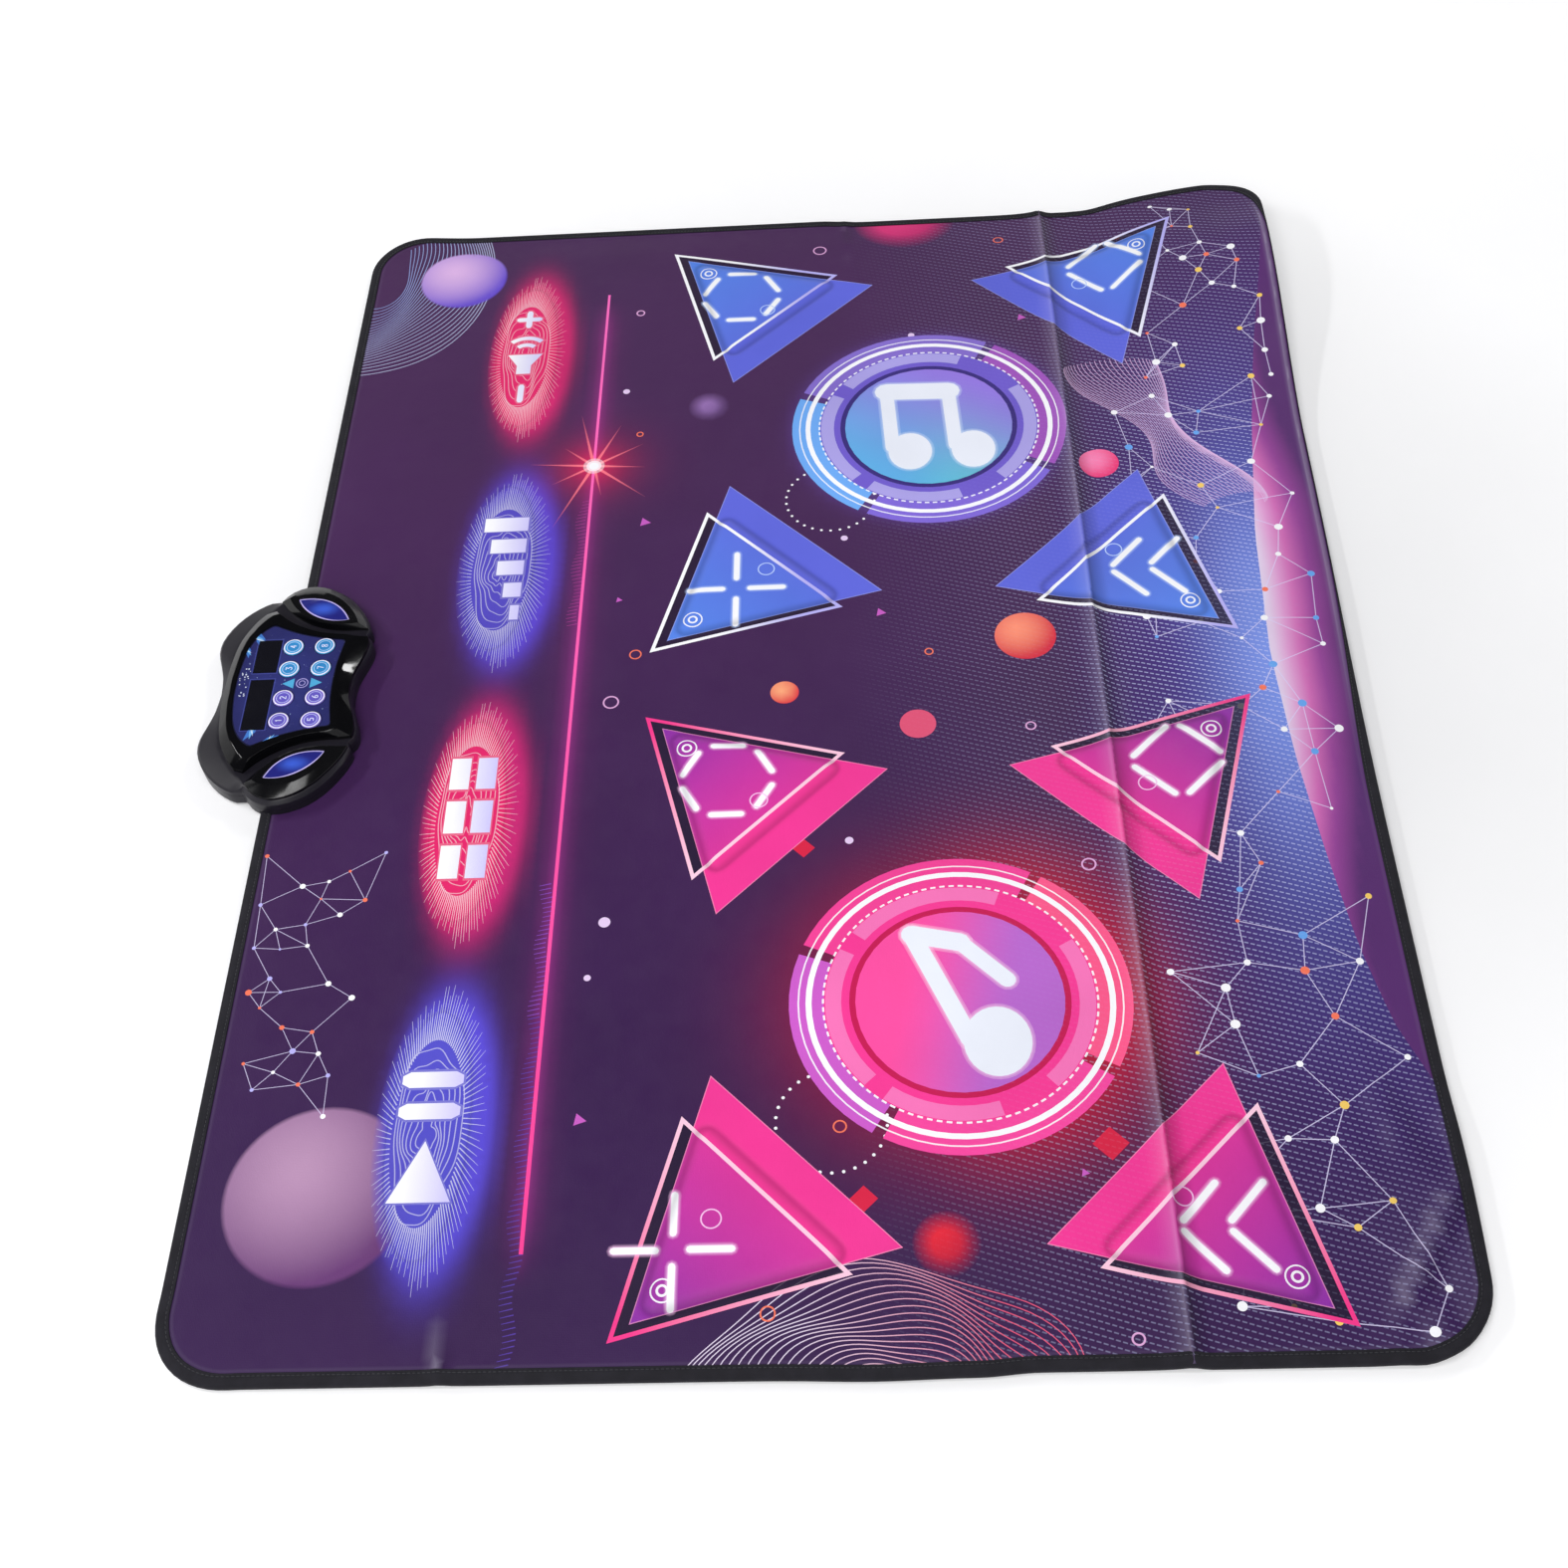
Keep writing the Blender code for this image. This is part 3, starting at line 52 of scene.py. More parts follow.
# Mat
MAT_LENGTH = 1220
MAT_WIDTH = 900
MAT_CORNER = 58
COVER_TOP = 6.5
COVER_BOTTOM = 4.9
PAD_TOP = 7.5
CREASE_Y = -241.3
CREASE_SLOPE = 0.0126
CREASE_STEPS = (-38, -24, -15, -9, -5, -2, 0, 1.5, 4, 8, 14, 24, 38)
CURL_RADIUS = 10  # the right edge curls down round this radius
CURL_WIDTH = 11.5  # measured along the cloth
CURL_STEPS = (2, 4.5, 7, 9.5, 11.5, 14)

TINY = 1e-9  # keeps a length of 0 from being divided by
POINTS_AT_ONCE = 4000  # a limit to spare memory


# Colour and small vector helpers

def rgb(red, green, blue):
    """A screen colour, 0 to 255, as linear light."""
    return np.array([((c / 255 + 0.055) / 1.055) ** 2.4 if c > 10 else c / 255 / 12.92
                     for c in (red, green, blue)])


def ramp(value, start, end):
    """0 before start, 1 after end, and smooth between."""
    t = np.clip((value - start) / (end - start), 0, 1)
    return t * t * (3 - 2 * t)


def mix(a, b, t):
    """The colour a share t of the way from a to b."""
    t = np.asarray(t)[..., None]
    return a * (1 - t) + b * t


def to_segment(x, y, a, b):
    """Distance from the points to the segment from a to b."""
    ax, ay = a
    bx, by = b
    length = (bx - ax) ** 2 + (by - ay) ** 2
    t = np.clip(((x - ax) * (bx - ax) + (y - ay) * (by - ay)) / max(length, TINY), 0, 1)
    return np.hypot(x - ax - t * (bx - ax), y - ay - t * (by - ay))


def to_loops(x, y, loops):
    """Distance from the points to the nearest edge of the loops."""
    nearest = np.full(np.shape(x), 1e9)
    for loop in loops:
        for a, b in zip(loop, np.roll(loop, -1, axis=0)):
            nearest = np.minimum(nearest, to_segment(x, y, a, b))
    return nearest


def inside(points, loops):
    """Whether each point lies inside the loops, where a loop inside another is a hole."""
    found = np.zeros(len(points), bool)
    for a in map(np.asarray, loops):
        b = np.roll(a, -1, axis=0)
        drop = np.where(b[:, 1] == a[:, 1], TINY, b[:, 1] - a[:, 1])
        near = np.flatnonzero(((points >= a.min(axis=0)) & (points <= a.max(axis=0))).all(axis=1))
        for part in np.array_split(near, len(near) // POINTS_AT_ONCE + 1):
            x, y = points[part, :1], points[part, 1:]
            span = (a[:, 1] > y) != (b[:, 1] > y)
            hits = span & (x < a[:, 0] + (y - a[:, 1]) * (b[:, 0] - a[:, 0]) / drop)
            found[part] ^= hits.sum(axis=1) % 2 == 1
    return found


# How the soft mat lies: waves, the fold line beside the right pads, and the raised far right corner

def still(x, y):
    """0 under the control box, where the mat is clamped flat, and 1 elsewhere."""
    return 1 - (1 - ramp(np.abs(x + 16), 125, 230)) * ramp(y, 330, 400)


def curl(x, y):
    """How much of the full curl the right edge has here, and how far round it the point lies, in radians."""
    much = ramp(x, -170, 120) * (1 - ramp(x, 515, 575))
    return much, np.clip(CURL_WIDTH - (y + MAT_WIDTH / 2), 0, CURL_WIDTH + 3) / CURL_RADIUS


def folds(x, y):
    """The sharp ridges: the storage fold, wrinkles at the near right corner and two short tucks."""
    beyond = y - (CREASE_Y + CREASE_SLOPE * x)
    ridge = 4.4 * np.where(beyond > 0, np.exp(-beyond / 12), np.exp(beyond / 6))
    valley = -1.0 * np.exp(-((beyond + 17) / 9) ** 2)
    near = ramp(-x, 330, 480) * ramp(-y, 350, 408)
    wrinkles = near * (1.8 + 1.4 * np.sin((y - 0.3 * (x + 610)) / 6.2) * (0.55 + 0.45 * np.sin(x / 37)))
    tuck = 2.6 * np.exp(-np.abs(y - 249 - 0.1 * (x + 610)) / 5) * (1 - ramp(x, -604, -540))
    second = 1.6 * np.exp(-np.abs(y + 37 - 0.03 * (x - 600)) / 7) * ramp(x, 470, 590)
    across, run = 0.482 * (x + 532) + 0.877 * (y + 414), 0.482 * (y + 414) - 0.877 * (x + 532)
    bent = 3.2 * np.exp(-(across / 7.5) ** 2) * (1 - ramp(np.abs(run), 35, 75))
    return ridge + valley + wrinkles + tuck + second + bent


def edge_gap(x, y):
    """Distance in from the mat's rounded outline."""
    over_x = np.abs(x) - (MAT_LENGTH / 2 - MAT_CORNER)
    over_y = np.abs(y) - (MAT_WIDTH / 2 - MAT_CORNER)
    past_corner = np.hypot(np.maximum(over_x, 0), np.maximum(over_y, 0))
    return MAT_CORNER - past_corner - np.minimum(np.maximum(over_x, over_y), 0)


def painted_sheen_and_shade(x, y):
    """Painted light on the mat's folds: above 0, painted sheen on their left slopes, with painted highlights
    along the crease's crest and the curled right edge's crest and over the near right corner; below 0, painted
    shade on the other slopes.
    """
    step = 0.6
    slope = (folds(x, y - step) - folds(x, y + step)) / (2 * step)
    # a painted highlight along the crease's crest, painted sheen at the near right corner, and a painted
    # highlight along the curled edge's crest
    crest = 0.2 * np.exp(-((y - CREASE_Y - CREASE_SLOPE * x) / 1.3) ** 2)
    corner = 0.03 * ramp(-x, 450, 560) * ramp(-y, 360, 420)
    crest += 0.34 * curl(x, y)[0] * np.exp(-((y + MAT_WIDTH / 2 - 8.5) / 1.5) ** 2)
    pale, dark = np.clip((slope - 0.1) / 0.27, 0, 1), np.clip((-slope - 0.06) / 0.5, 0, 1)
    return crest + corner + 0.13 * pale - 0.5 * dark


def rise(x, y):
    """How far the mat stands above its flat place."""
    x, y = np.asarray(x, float), np.asarray(y, float)
    waves = 0.7 + 0.35 * np.sin(x / 83 + y / 121) + 0.3 * np.sin(y / 67 - x / 190 + 1.3)
    waves = waves * ramp(x, -600, -500) * (1 - ramp(x, 560, 606))
    beyond = -(y - (CREASE_Y + CREASE_SLOPE * x))
    bulge = 3.2 * ramp(beyond, 10, 110) * (1 - ramp(beyond, 120, 212)) * (0.6 + 0.4 * np.cos((x + 120) / 150))
    up = 5 * np.logaddexp(0, (-y - 284) / 5) / 128
    corner = (27 * (1 - np.exp(-up / 0.6)) + 6 * ramp(up, 0.95, 1.3)) * ramp(x, 250, 520)
    much, turned = curl(x, y)
    hem = much * (4.6 * ramp(-y, 330, 430) - CURL_RADIUS * (1 - np.cos(turned)))
    all_of_it = waves + bulge + corner + hem + folds(x, y)
    return np.maximum(all_of_it, 0) * still(x, y) * ramp(MAT_WIDTH / 2 - y, 0, 40)


def slide(x, y):
    """Where a point of the flat mat lies in plan: the right edge is drawn in, the far corner pushed out."""
    drawn = 2.5 * np.exp(-((x + 110) / 210) ** 2) - 2 * np.exp(-((x + 490) / 70) ** 2)
    out = 6 * ramp(x, 430, 610) * ramp(-y, 330, 440)
    pulled = (6 + 4 * ramp(-y, 10, 45)) * ramp(x, 545, 612) * ramp(-y, -430, -340)
    nearer = 2.6 * ramp(y, -150, -110) + 1.6 * np.exp(-((y + 40) / 45) ** 2) + 2.5 * ramp(y, 380, 440)
    wider = 3 * ramp(-x, 540, 600) * ramp(y, 375, 450)
    much, turned = curl(x, y)
    tucked = much * (CURL_RADIUS * (turned - np.sin(turned)) - 3.0 * ramp(-y, 375, 450))
    return x + out - pulled - nearer * ramp(-x, 500, 610), y + drawn * ramp(-y, 375, 450) + wider + tucked


def laid(flat, level, dip=0.0):
    """Points (x, y) of the flat mat at a height in its thickness, as they lie in the room."""
    x, y = slide(flat[:, 0], flat[:, 1])
    return np.column_stack([x, y, level + rise(flat[:, 0], flat[:, 1]) - dip])


def zero(x, y):
    """0 at every point: no dip, or no dashes."""
    return np.zeros(np.shape(x))


def lean(flat, dip=zero):
    """The surface's upward normal at points of the flat mat."""
    step = 0.25
    x, y = flat[:, 0], flat[:, 1]
    def height(x, y):
        return rise(x, y) - dip(x, y)
    fall_x = (height(x + step, y) - height(x - step, y)) / (2 * step)
    fall_y = (height(x, y + step) - height(x, y - step)) / (2 * step)
    normal = np.column_stack([-fall_x, -fall_y, np.ones(len(flat))])
    return normal / np.linalg.norm(normal, axis=1)[:, None]


# Outlines taken from the CAD nodes

def border(rings):
    """The directed edges of the rings that no ring passes the other way."""
    edges = dict.fromkeys((a, b) for ring in rings for a, b in zip(ring, ring[1:] + ring[:1]))
    return [(a, b) for a, b in edges if (b, a) not in edges]


def edge_loops(name, level):
    """The closed outlines, in plan, of the node's flat faces at this height."""
    mesh = NODES[name].data
    corner = np.array([v.co for v in mesh.vertices]) / MM
    keys = [tuple(p) for p in np.round(corner, 2)]
    rings = [[keys[v] for v in face.vertices] for face in mesh.polygons
             if all(abs(corner[v][2] - level) < 0.02 for v in face.vertices)]
    follow = {}
    for a, b in border(rings):
        follow.setdefault(a, []).append(b)
    loops = []
    while follow:
        loop, here = [], next(iter(follow))
        while here in follow:
            loop.append(here[:2])
            there = follow[here].pop()
            if not follow[here]:
                del follow[here]
            here = there
        if len(loop) > 2:
            loops.append(np.array(loop))
    return loops


def box_loop(low, high):
    """The four corners of an upright rectangle."""
    return np.array([low, (high[0], low[1]), high, (low[0], high[1])], float)


def middle_and_half(loop):
    """The middle of the loop's box, and half the box's size."""
    low, high = loop.min(axis=0), loop.max(axis=0)
    return (low + high) / 2, (high - low) / 2


def looped(path):
    """The path with its first point once more at its end."""
    return np.vstack([path, path[:1]])


def lengths_along(path):
    """The length along the closed path up to each point, and round the whole of it."""
    return np.concatenate([[0], np.cumsum(np.linalg.norm(np.diff(looped(path), axis=0), axis=1))])


def grown(loop, by):
    """The closed outline with its sides moved outward."""
    ahead = np.roll(loop, -1, axis=0)
    along = ahead - np.roll(loop, 1, axis=0)
    along /= np.maximum(np.linalg.norm(along, axis=1), TINY)[:, None]
    turning = np.sign(np.sum(loop[:, 0] * ahead[:, 1] - ahead[:, 0] * loop[:, 1]))
    return loop + np.column_stack([along[:, 1], -along[:, 0]]) * by * turning


def dense(path, step):
    """The path with points added so that no piece of it is longer than step."""
    path = np.asarray(path, float)
    made = []
    for a, b in zip(path, path[1:]):
        parts = max(1, math.ceil(np.linalg.norm(b - a) / step))
        made.append(a + (b - a) * np.arange(parts)[:, None] / parts)
    return np.vstack([*made, path[-1:]])


def edge_path(inset, step=5.0):
    """Points along the mat's edge, drawn in by inset, with the outward direction at each."""
    half = np.array([MAT_LENGTH, MAT_WIDTH]) / 2 - MAT_CORNER
    corners = np.array([(1, 1), (-1, 1), (-1, -1), (1, -1)]) * half
    points, out = [], []
    for quarter, (corner, onward) in enumerate(zip(corners, np.roll(corners, -1, axis=0))):
        turn = np.radians(90 * quarter + 90 * np.arange(15) / 14)
        way = np.column_stack([np.cos(turn), np.sin(turn)])
        start, end = corner + way[-1] * MAT_CORNER, onward + way[-1] * MAT_CORNER
        parts = int(np.linalg.norm(end - start) / step)
        points += [corner + way * MAT_CORNER, start + (end - start) * np.arange(1, parts)[:, None] / parts]
        out += [way, np.tile(way[-1], (parts - 1, 1))]
    points, out = np.vstack(points), np.vstack(out)
    return points - out * inset, out


# Print: shapes in painter's order, each with a colour and a cover given as values or as functions of place

SHAPES = []
GUIDES = []  # outlines that triangles follow too, where a colour fades or turns softly, open by their last piece


def paint(loops, colour, cover=1.0, within=None, dash=None):
    """Adds the area inside the loops, and inside within.
    The dash pattern fades under it, or has the strength dash."""
    loops = [np.asarray(loop, float) for loop in loops]
    points = np.concatenate(loops)
    SHAPES.append({"loops": loops, "low": points.min(axis=0), "high": points.max(axis=0), "colour": colour,
                   "cover": cover, "within": within, "dash": dash})


def wheel(x, y, reach_x, reach_y, turn):
    """The points of an oval about x, y at these turns, in radians."""
    return np.column_stack([x + reach_x * np.cos(turn), y + reach_y * np.sin(turn)])


def oval(x, y, reach_x, reach_y, sides=40, start=0.0, end=360.0):
    """The points of an oval, or of a part of it between two turns in degrees."""
    turn = np.radians(np.linspace(start, end, sides, endpoint=end - start < 360))
    return wheel(x, y, reach_x, reach_y, turn)


def bow(x, y, outer, inner, start, end):
    """The outline of a part of a ring, between two turns in degrees."""
    sides = max(3, int(abs(end - start) / 5))
    far, near = (oval(x, y, reach, reach, sides, start, end) for reach in (outer, inner))
    return np.vstack([far, near[::-1]])


def disc(x, y, radius, colour, cover=1.0, sides=40):
    paint([oval(x, y, radius, radius, sides)], colour, cover)


def ring(x, y, outer, inner, colour, cover=1.0, sides=64):
    paint([oval(x, y, outer, outer, sides), oval(x, y, inner, inner, sides)], colour, cover)


def arc(x, y, outer, inner, start, end, colour, cover=1.0):
    paint([bow(x, y, outer, inner, start, end)], colour, cover)


def strip(a, b, width, colour, cover=1.0, width_b=None):
    """A straight stroke with square ends, width_b wide at its far end."""
    a, b = np.array(a, float), np.array(b, float)
    side = np.array([a[1] - b[1], b[0] - a[0]]) / max(np.linalg.norm(b - a), TINY) / 2
    far = width if width_b is None else width_b
    paint([[a + side * width, b + side * far, b - side * far, a - side * width]], colour, cover)


def capsule(a, b, width, steps=5):
    """The outline of a stroke with round ends."""
    heading, half = math.atan2(b[1] - a[1], b[0] - a[0]), math.pi / 2
    return np.vstack([wheel(*end, width / 2, width / 2, np.linspace(turn - half, turn + half, steps))
                      for end, turn in ((b, heading), (a, heading + math.pi))])


def bar(a, b, width, colour, halo, reach):
    """A stroke with round ends and a soft glow round it."""
    for far in (reach, reach * 0.45):
        GUIDES.append(capsule(a, b, width + 2 * far))
    paint([capsule(a, b, width + 2 * reach, 7)], halo,
          lambda x, y: 0.8 * np.clip(1 - (to_segment(x, y, a, b) - width / 2) / reach, 0, 1) ** 1.6)
    paint([capsule(a, b, width)], colour)


def line(points, width, colour, cover=1.0):
    """A thin line through the points, as one strip."""
    along = np.gradient(points, axis=0)
    along /= np.maximum(np.linalg.norm(along, axis=1), TINY)[:, None]
    side = np.column_stack([-along[:, 1], along[:, 0]]) * width / 2
    paint([np.vstack([points + side, (points - side)[::-1]])], colour, cover)


WHITE = rgb(250, 250, 255)
DARK = rgb(38, 24, 52)
# the tint of the painted sheen and highlights on the mat's folds and edges
PAINTED_SHEEN = rgb(222, 216, 240)
PLAIN_INK = rgb(30, 26, 36)  # where nothing is printed
GROUND_FAR = rgb(71, 38, 84)
GROUND_NEAR = rgb(56, 30, 77)
STRIP_BLUE = rgb(66, 54, 164)
STRIP_PALE = rgb(126, 154, 240)
HOT_PINK = rgb(241, 56, 150)
MAGENTA = rgb(208, 84, 190)
PAD_VIOLET = rgb(136, 50, 166)
PERIWINKLE = rgb(96, 104, 220)
AZURE = rgb(86, 134, 232)
RED_GLOW = rgb(186, 20, 54)
LAVENDER = rgb(184, 178, 244)
ORANGE = rgb(248, 120, 92)
YELLOW = rgb(246, 206, 104)
SKY = rgb(104, 166, 240)

PINK_FIELD = (-328, -110)
BLUE_FIELD = (292, -110)
PINK_PADS_X = -316
FIELD_Y = -111
OVALS = [  # centre, half length, half width, colour, glow
    ((414, 279), 111, 36, rgb(230, 38, 108), rgb(224, 40, 116)),
    ((130, 276), 112, 40, rgb(84, 74, 190), rgb(96, 74, 216)),
    ((-147, 278), 113, 38, rgb(226, 38, 106), rgb(214, 40, 120)),
    ((-426, 278), 114, 39, rgb(82, 78, 196), rgb(92, 78, 220)),
]
DIVIDER_Y = 201
DIVIDER_ENDS = (-522, 500)
STAR_X = 256


def ground(x, y):
    """The printed ground with its soft glows."""
    shade = mix(GROUND_NEAR, GROUND_FAR, ramp(x, -600, 500))
    blue = ramp(-y, 195, 420) * np.exp(-((x - 20) / 330) ** 2)
    shade = mix(shade, STRIP_BLUE, 0.95 * blue)
    shade = mix(shade, STRIP_PALE, 0.92 * ramp(-y, 285, 388) ** 1.5 * np.exp(-((x + 10) / 190) ** 2))
    reach = np.hypot(x - PINK_FIELD[0], y - PINK_FIELD[1])
    side = 0.35 + 0.65 * ramp(PINK_FIELD[1] - y, -60, 110)
    shade = mix(shade, RED_GLOW, 0.8 * side * np.exp(-(np.maximum(reach - 122, 0) / 34) ** 1.3))
    reach = np.hypot(x - BLUE_FIELD[0], y - BLUE_FIELD[1])
    shade = mix(shade, rgb(112, 84, 190), 0.25 * np.exp(-(np.maximum(reach - 122, 0) / 8) ** 1.4))
    for (cx, cy), half, wide, _, glow in OVALS:
        reach = np.hypot((x - cx) / half, (y - cy + 9) / wide)
        shade = mix(shade, glow, 0.85 * np.exp(-(np.maximum(reach - 0.88, 0) / 0.22) ** 1.6))
    start, end = DIVIDER_ENDS
    along = ramp(x, start - 30, start + 40) * (1 - ramp(x, end - 60, end))
    shade = mix(shade, rgb(204, 60, 170), 0.38 * along * np.exp(-np.abs(y - DIVIDER_Y) / 6))
    reach = np.hypot(x - STAR_X, y - DIVIDER_Y)
    shade = mix(shade, rgb(236, 36, 84), 0.9 * np.exp(-(reach / 22) ** 1.2))
    return shade


def shade_two(a, b, across):
    """A colour that runs from a to b along the line across = (x0, y0, x1, y1)."""
    x0, y0, x1, y1 = across
    length = (x1 - x0) ** 2 + (y1 - y0) ** 2
    return lambda x, y: mix(a, b, np.clip(((x - x0) * (x1 - x0) + (y - y0) * (y1 - y0)) / length, 0, 1))


def ball(x, y, radius, core, rim, soft=0.0):
    """A round figure shaded like a ball, with a soft edge where soft isn't 0."""
    def colour(px, py):
        off = np.hypot(px - x - radius * 0.3, py - y - radius * 0.25) / (1.25 * radius)
        return mix(core, rim, np.clip(off, 0, 1) ** 1.5)
    def fade(px, py):
        return np.clip((radius - np.hypot(px - x, py - y)) / (radius * soft), 0, 1)
    if soft:
        GUIDES.extend(oval(x, y, radius * part, radius * part, 30) for part in (1 - soft, 1 - soft / 2))
    disc(x, y, radius, colour, fade if soft else 1.0)


def triangle(x, y, reach, sx, sy):
    return wheel(x, y, -sx * reach, sy * reach, np.radians([15, 135, 255]))


def paint_strip():
    """The curved band along the right edge."""
    edge = np.array([(600, -452), (466, -432), (370, -416), (270, -403), (132, -388), (-6, -382), (-111, -387),
                     (-209, -397), (-292, -408), (-357, -422), (-420, -446)])
    x = np.linspace(600, -420, 52)
    fine = np.column_stack([x, np.interp(-x, -edge[:, 0], edge[:, 1])])
    back = [(x, -470) for x in np.linspace(-420, 600, 40)]
    stops = (0, 0.35, 0.6, 0.8, 1.0)
    tones = np.array([rgb(88, 46, 110), rgb(150, 68, 152), rgb(208, 108, 182), rgb(224, 160, 212),
                      rgb(226, 210, 236)])
    def colour(x, y):
        into = np.interp(-x, -fine[:, 0], fine[:, 1]) - y
        level = 1.04 * np.exp(-(np.abs(x - 28) / 250) ** 3.2) - 0.0175 * into
        return np.stack([np.interp(level, stops, tones[:, k]) for k in range(3)], axis=-1)
    GUIDES.extend(fine - [0, into] for into in (5, 10, 16, 23, 31, 40))
    paint([np.vstack([fine, back])], colour, 1.0, dash=0.0)


def glyph_bars(kind):
    """The strokes of a pad's figure about its centre, as pairs of ends."""
    def at(turn, reach):
        return reach * math.cos(math.radians(turn)), reach * math.sin(math.radians(turn))
    if kind == "hexagon":
        return [(at(turn - 19, 37), at(turn + 19, 37)) for turn in range(0, 360, 60)]
    if kind == "diamond":
        return [((a * 0.86, b * 0.14), (a * 0.14, b * 0.86)) for a in (-40, 40) for b in (-40, 40)]
    if kind == "plus":
        return [(at(turn, 12), at(turn, 41)) for turn in range(0, 360, 90)]
    return [((side * 32, y), (side * 4, y + 25)) for side in (-1, 1) for y in (-30, 3)]


PAD_FIGURES = [  # figure, which way the pad points, the figure's place on the pink pad and on the blue one
    ("hexagon", (1, 1), (-116, 68), (488, 68)),
    ("diamond", (1, -1), (-111, -294), (505, -291)),
    ("plus", (-1, 1), (-521, 96), (93, 65)),
    ("chevrons", (-1, -1), (-512, -281), (101, -291)),
]


def paint_pad(field_x, sx, sy, kind, glyph_at, pink):
    """A pad's filled triangle and the outlined one laid over it, with the pad's figure."""
    x, y = field_x + sx * 198.5, FIELD_Y + sy * 179
    filled, rim = (triangle(field_x + sx * 177.5, FIELD_Y + sy * 156, reach, sx, sy) for reach in (111, 109.6))
    outer, inner = triangle(x, y, 99, sx, sy), triangle(x, y, 92.8, sx, sy)
    across = (x - sx * 62, y - sy * 58, x + sx * 58, y + sy * 58)
    if pink:
        near, far, halo = HOT_PINK, PAD_VIOLET, rgb(248, 196, 240)
        frame_shade = shade_two(rgb(255, 226, 244), rgb(244, 58, 140), across)
    else:
        near, far, halo = PERIWINKLE, AZURE, rgb(190, 212, 255)
        frame_shade = shade_two(WHITE, LAVENDER, (x, y, x + sx * 10, y - 60))
    paint([outer], DARK, 0.92)
    paint([filled], near)
    paint([inner], shade_two(mix(near, far, 0.12), far, across), 1.0, within=[filled])
    paint([filled, rim], mix(near, WHITE, 0.35), 0.55)
    paint([outer, inner], frame_shade)
    for a, b in glyph_bars(kind):
        bar(np.add(glyph_at, a), np.add(glyph_at, b), 5.0, WHITE, halo, 2.6)
    for out, into in ((8.6, 7.4), (4.4, 2.6)):
        ring(x + sx * 35, y + sy * 34, out, into, WHITE, 0.9, 30)
    ring(glyph_at[0] - 22 * sx, glyph_at[1] - 26 * sy, 7.6, 6.5, halo, 0.9, 30)


def paint_medallion(x, y, pink):
    """Rings and arcs round a music note."""
    main = rgb(246, 58, 150) if pink else rgb(112, 92, 204)
    pale = rgb(246, 130, 196) if pink else rgb(186, 178, 238)
    arcs = ([(250, 88, 140), (243, 66, 152), (204, 92, 202), (246, 72, 160)] if pink
            else [(160, 84, 188), (132, 108, 204), (110, 170, 244), (128, 104, 216)])
    for part, (start, end) in enumerate([(-118, -32), (-28, 66), (70, 148), (152, 238)]):
        arc(x, y, 127, 100, start, end, rgb(*arcs[part]))
    ring(x, y, 101, 79, main)
    for start, end in ((-20, 52), (62, 134), (144, 196), (222, 300)):
        arc(x, y, 100, 88, start, end, pale, 0.75)
    ring(x, y, 114.5, 110, WHITE)
    ring(x, y, 120.5, 119.3, WHITE, 0.85)
    for step in range(0, 360, 4):
        arc(x, y, 102.3, 100.7, step, step + 2.3, WHITE, 0.9)
    ring(x, y, 82, 77, rgb(196, 24, 84) if pink else rgb(58, 44, 122))
    def disc_colour(px, py):
        if pink:
            turned = ramp((x - px) * 0.2 + (y - py), -50, 45)
            return mix(rgb(250, 78, 162), rgb(184, 104, 206), turned)
        turned = ramp((px - x) * 0.5 + (y - py) * 0.3, -50, 50)
        return mix(mix(rgb(96, 176, 232), rgb(88, 196, 208), ramp(y - py, -40, 50)), rgb(150, 120, 226), turned)
    GUIDES.append(oval(x, y, 40, 40, 24))
    disc(x, y, 77.5, disc_colour)
    paint_note(x, y, pink)


def paint_note(x, y, pink):
    """A plain music note, its stem along X, with a soft glow."""
    if pink:
        strokes = [((-34, -6), (58, 34), 14), ((58, 34), (50, -2), 16), ((50, -2), (16, -36), 13)]
        heads = [((-36, -26), 29, 25)]
    else:
        strokes = [((-28, 34), (48, 38), 13), ((-28, -24), (46, -20), 13), ((48, 38), (46, -20), 22)]
        heads = [((-34, 18), 24, 20), ((-34, -40), 24, 20)]
    halo = rgb(255, 214, 240) if pink else rgb(214, 230, 255)
    for far, shade, cover in ((2.6, halo, 0.25), (1.2, halo, 0.25), (0, rgb(236, 240, 252), 1.0)):
        for a, b, width in strokes:
            paint([capsule((x + a[0], y + a[1]), (x + b[0], y + b[1]), width + 2 * far, 7)], shade, cover)
        for (hx, hy), long, wide in heads:
            paint([oval(x + hx, y + hy, long + far, wide + far, 30)], shade, cover)


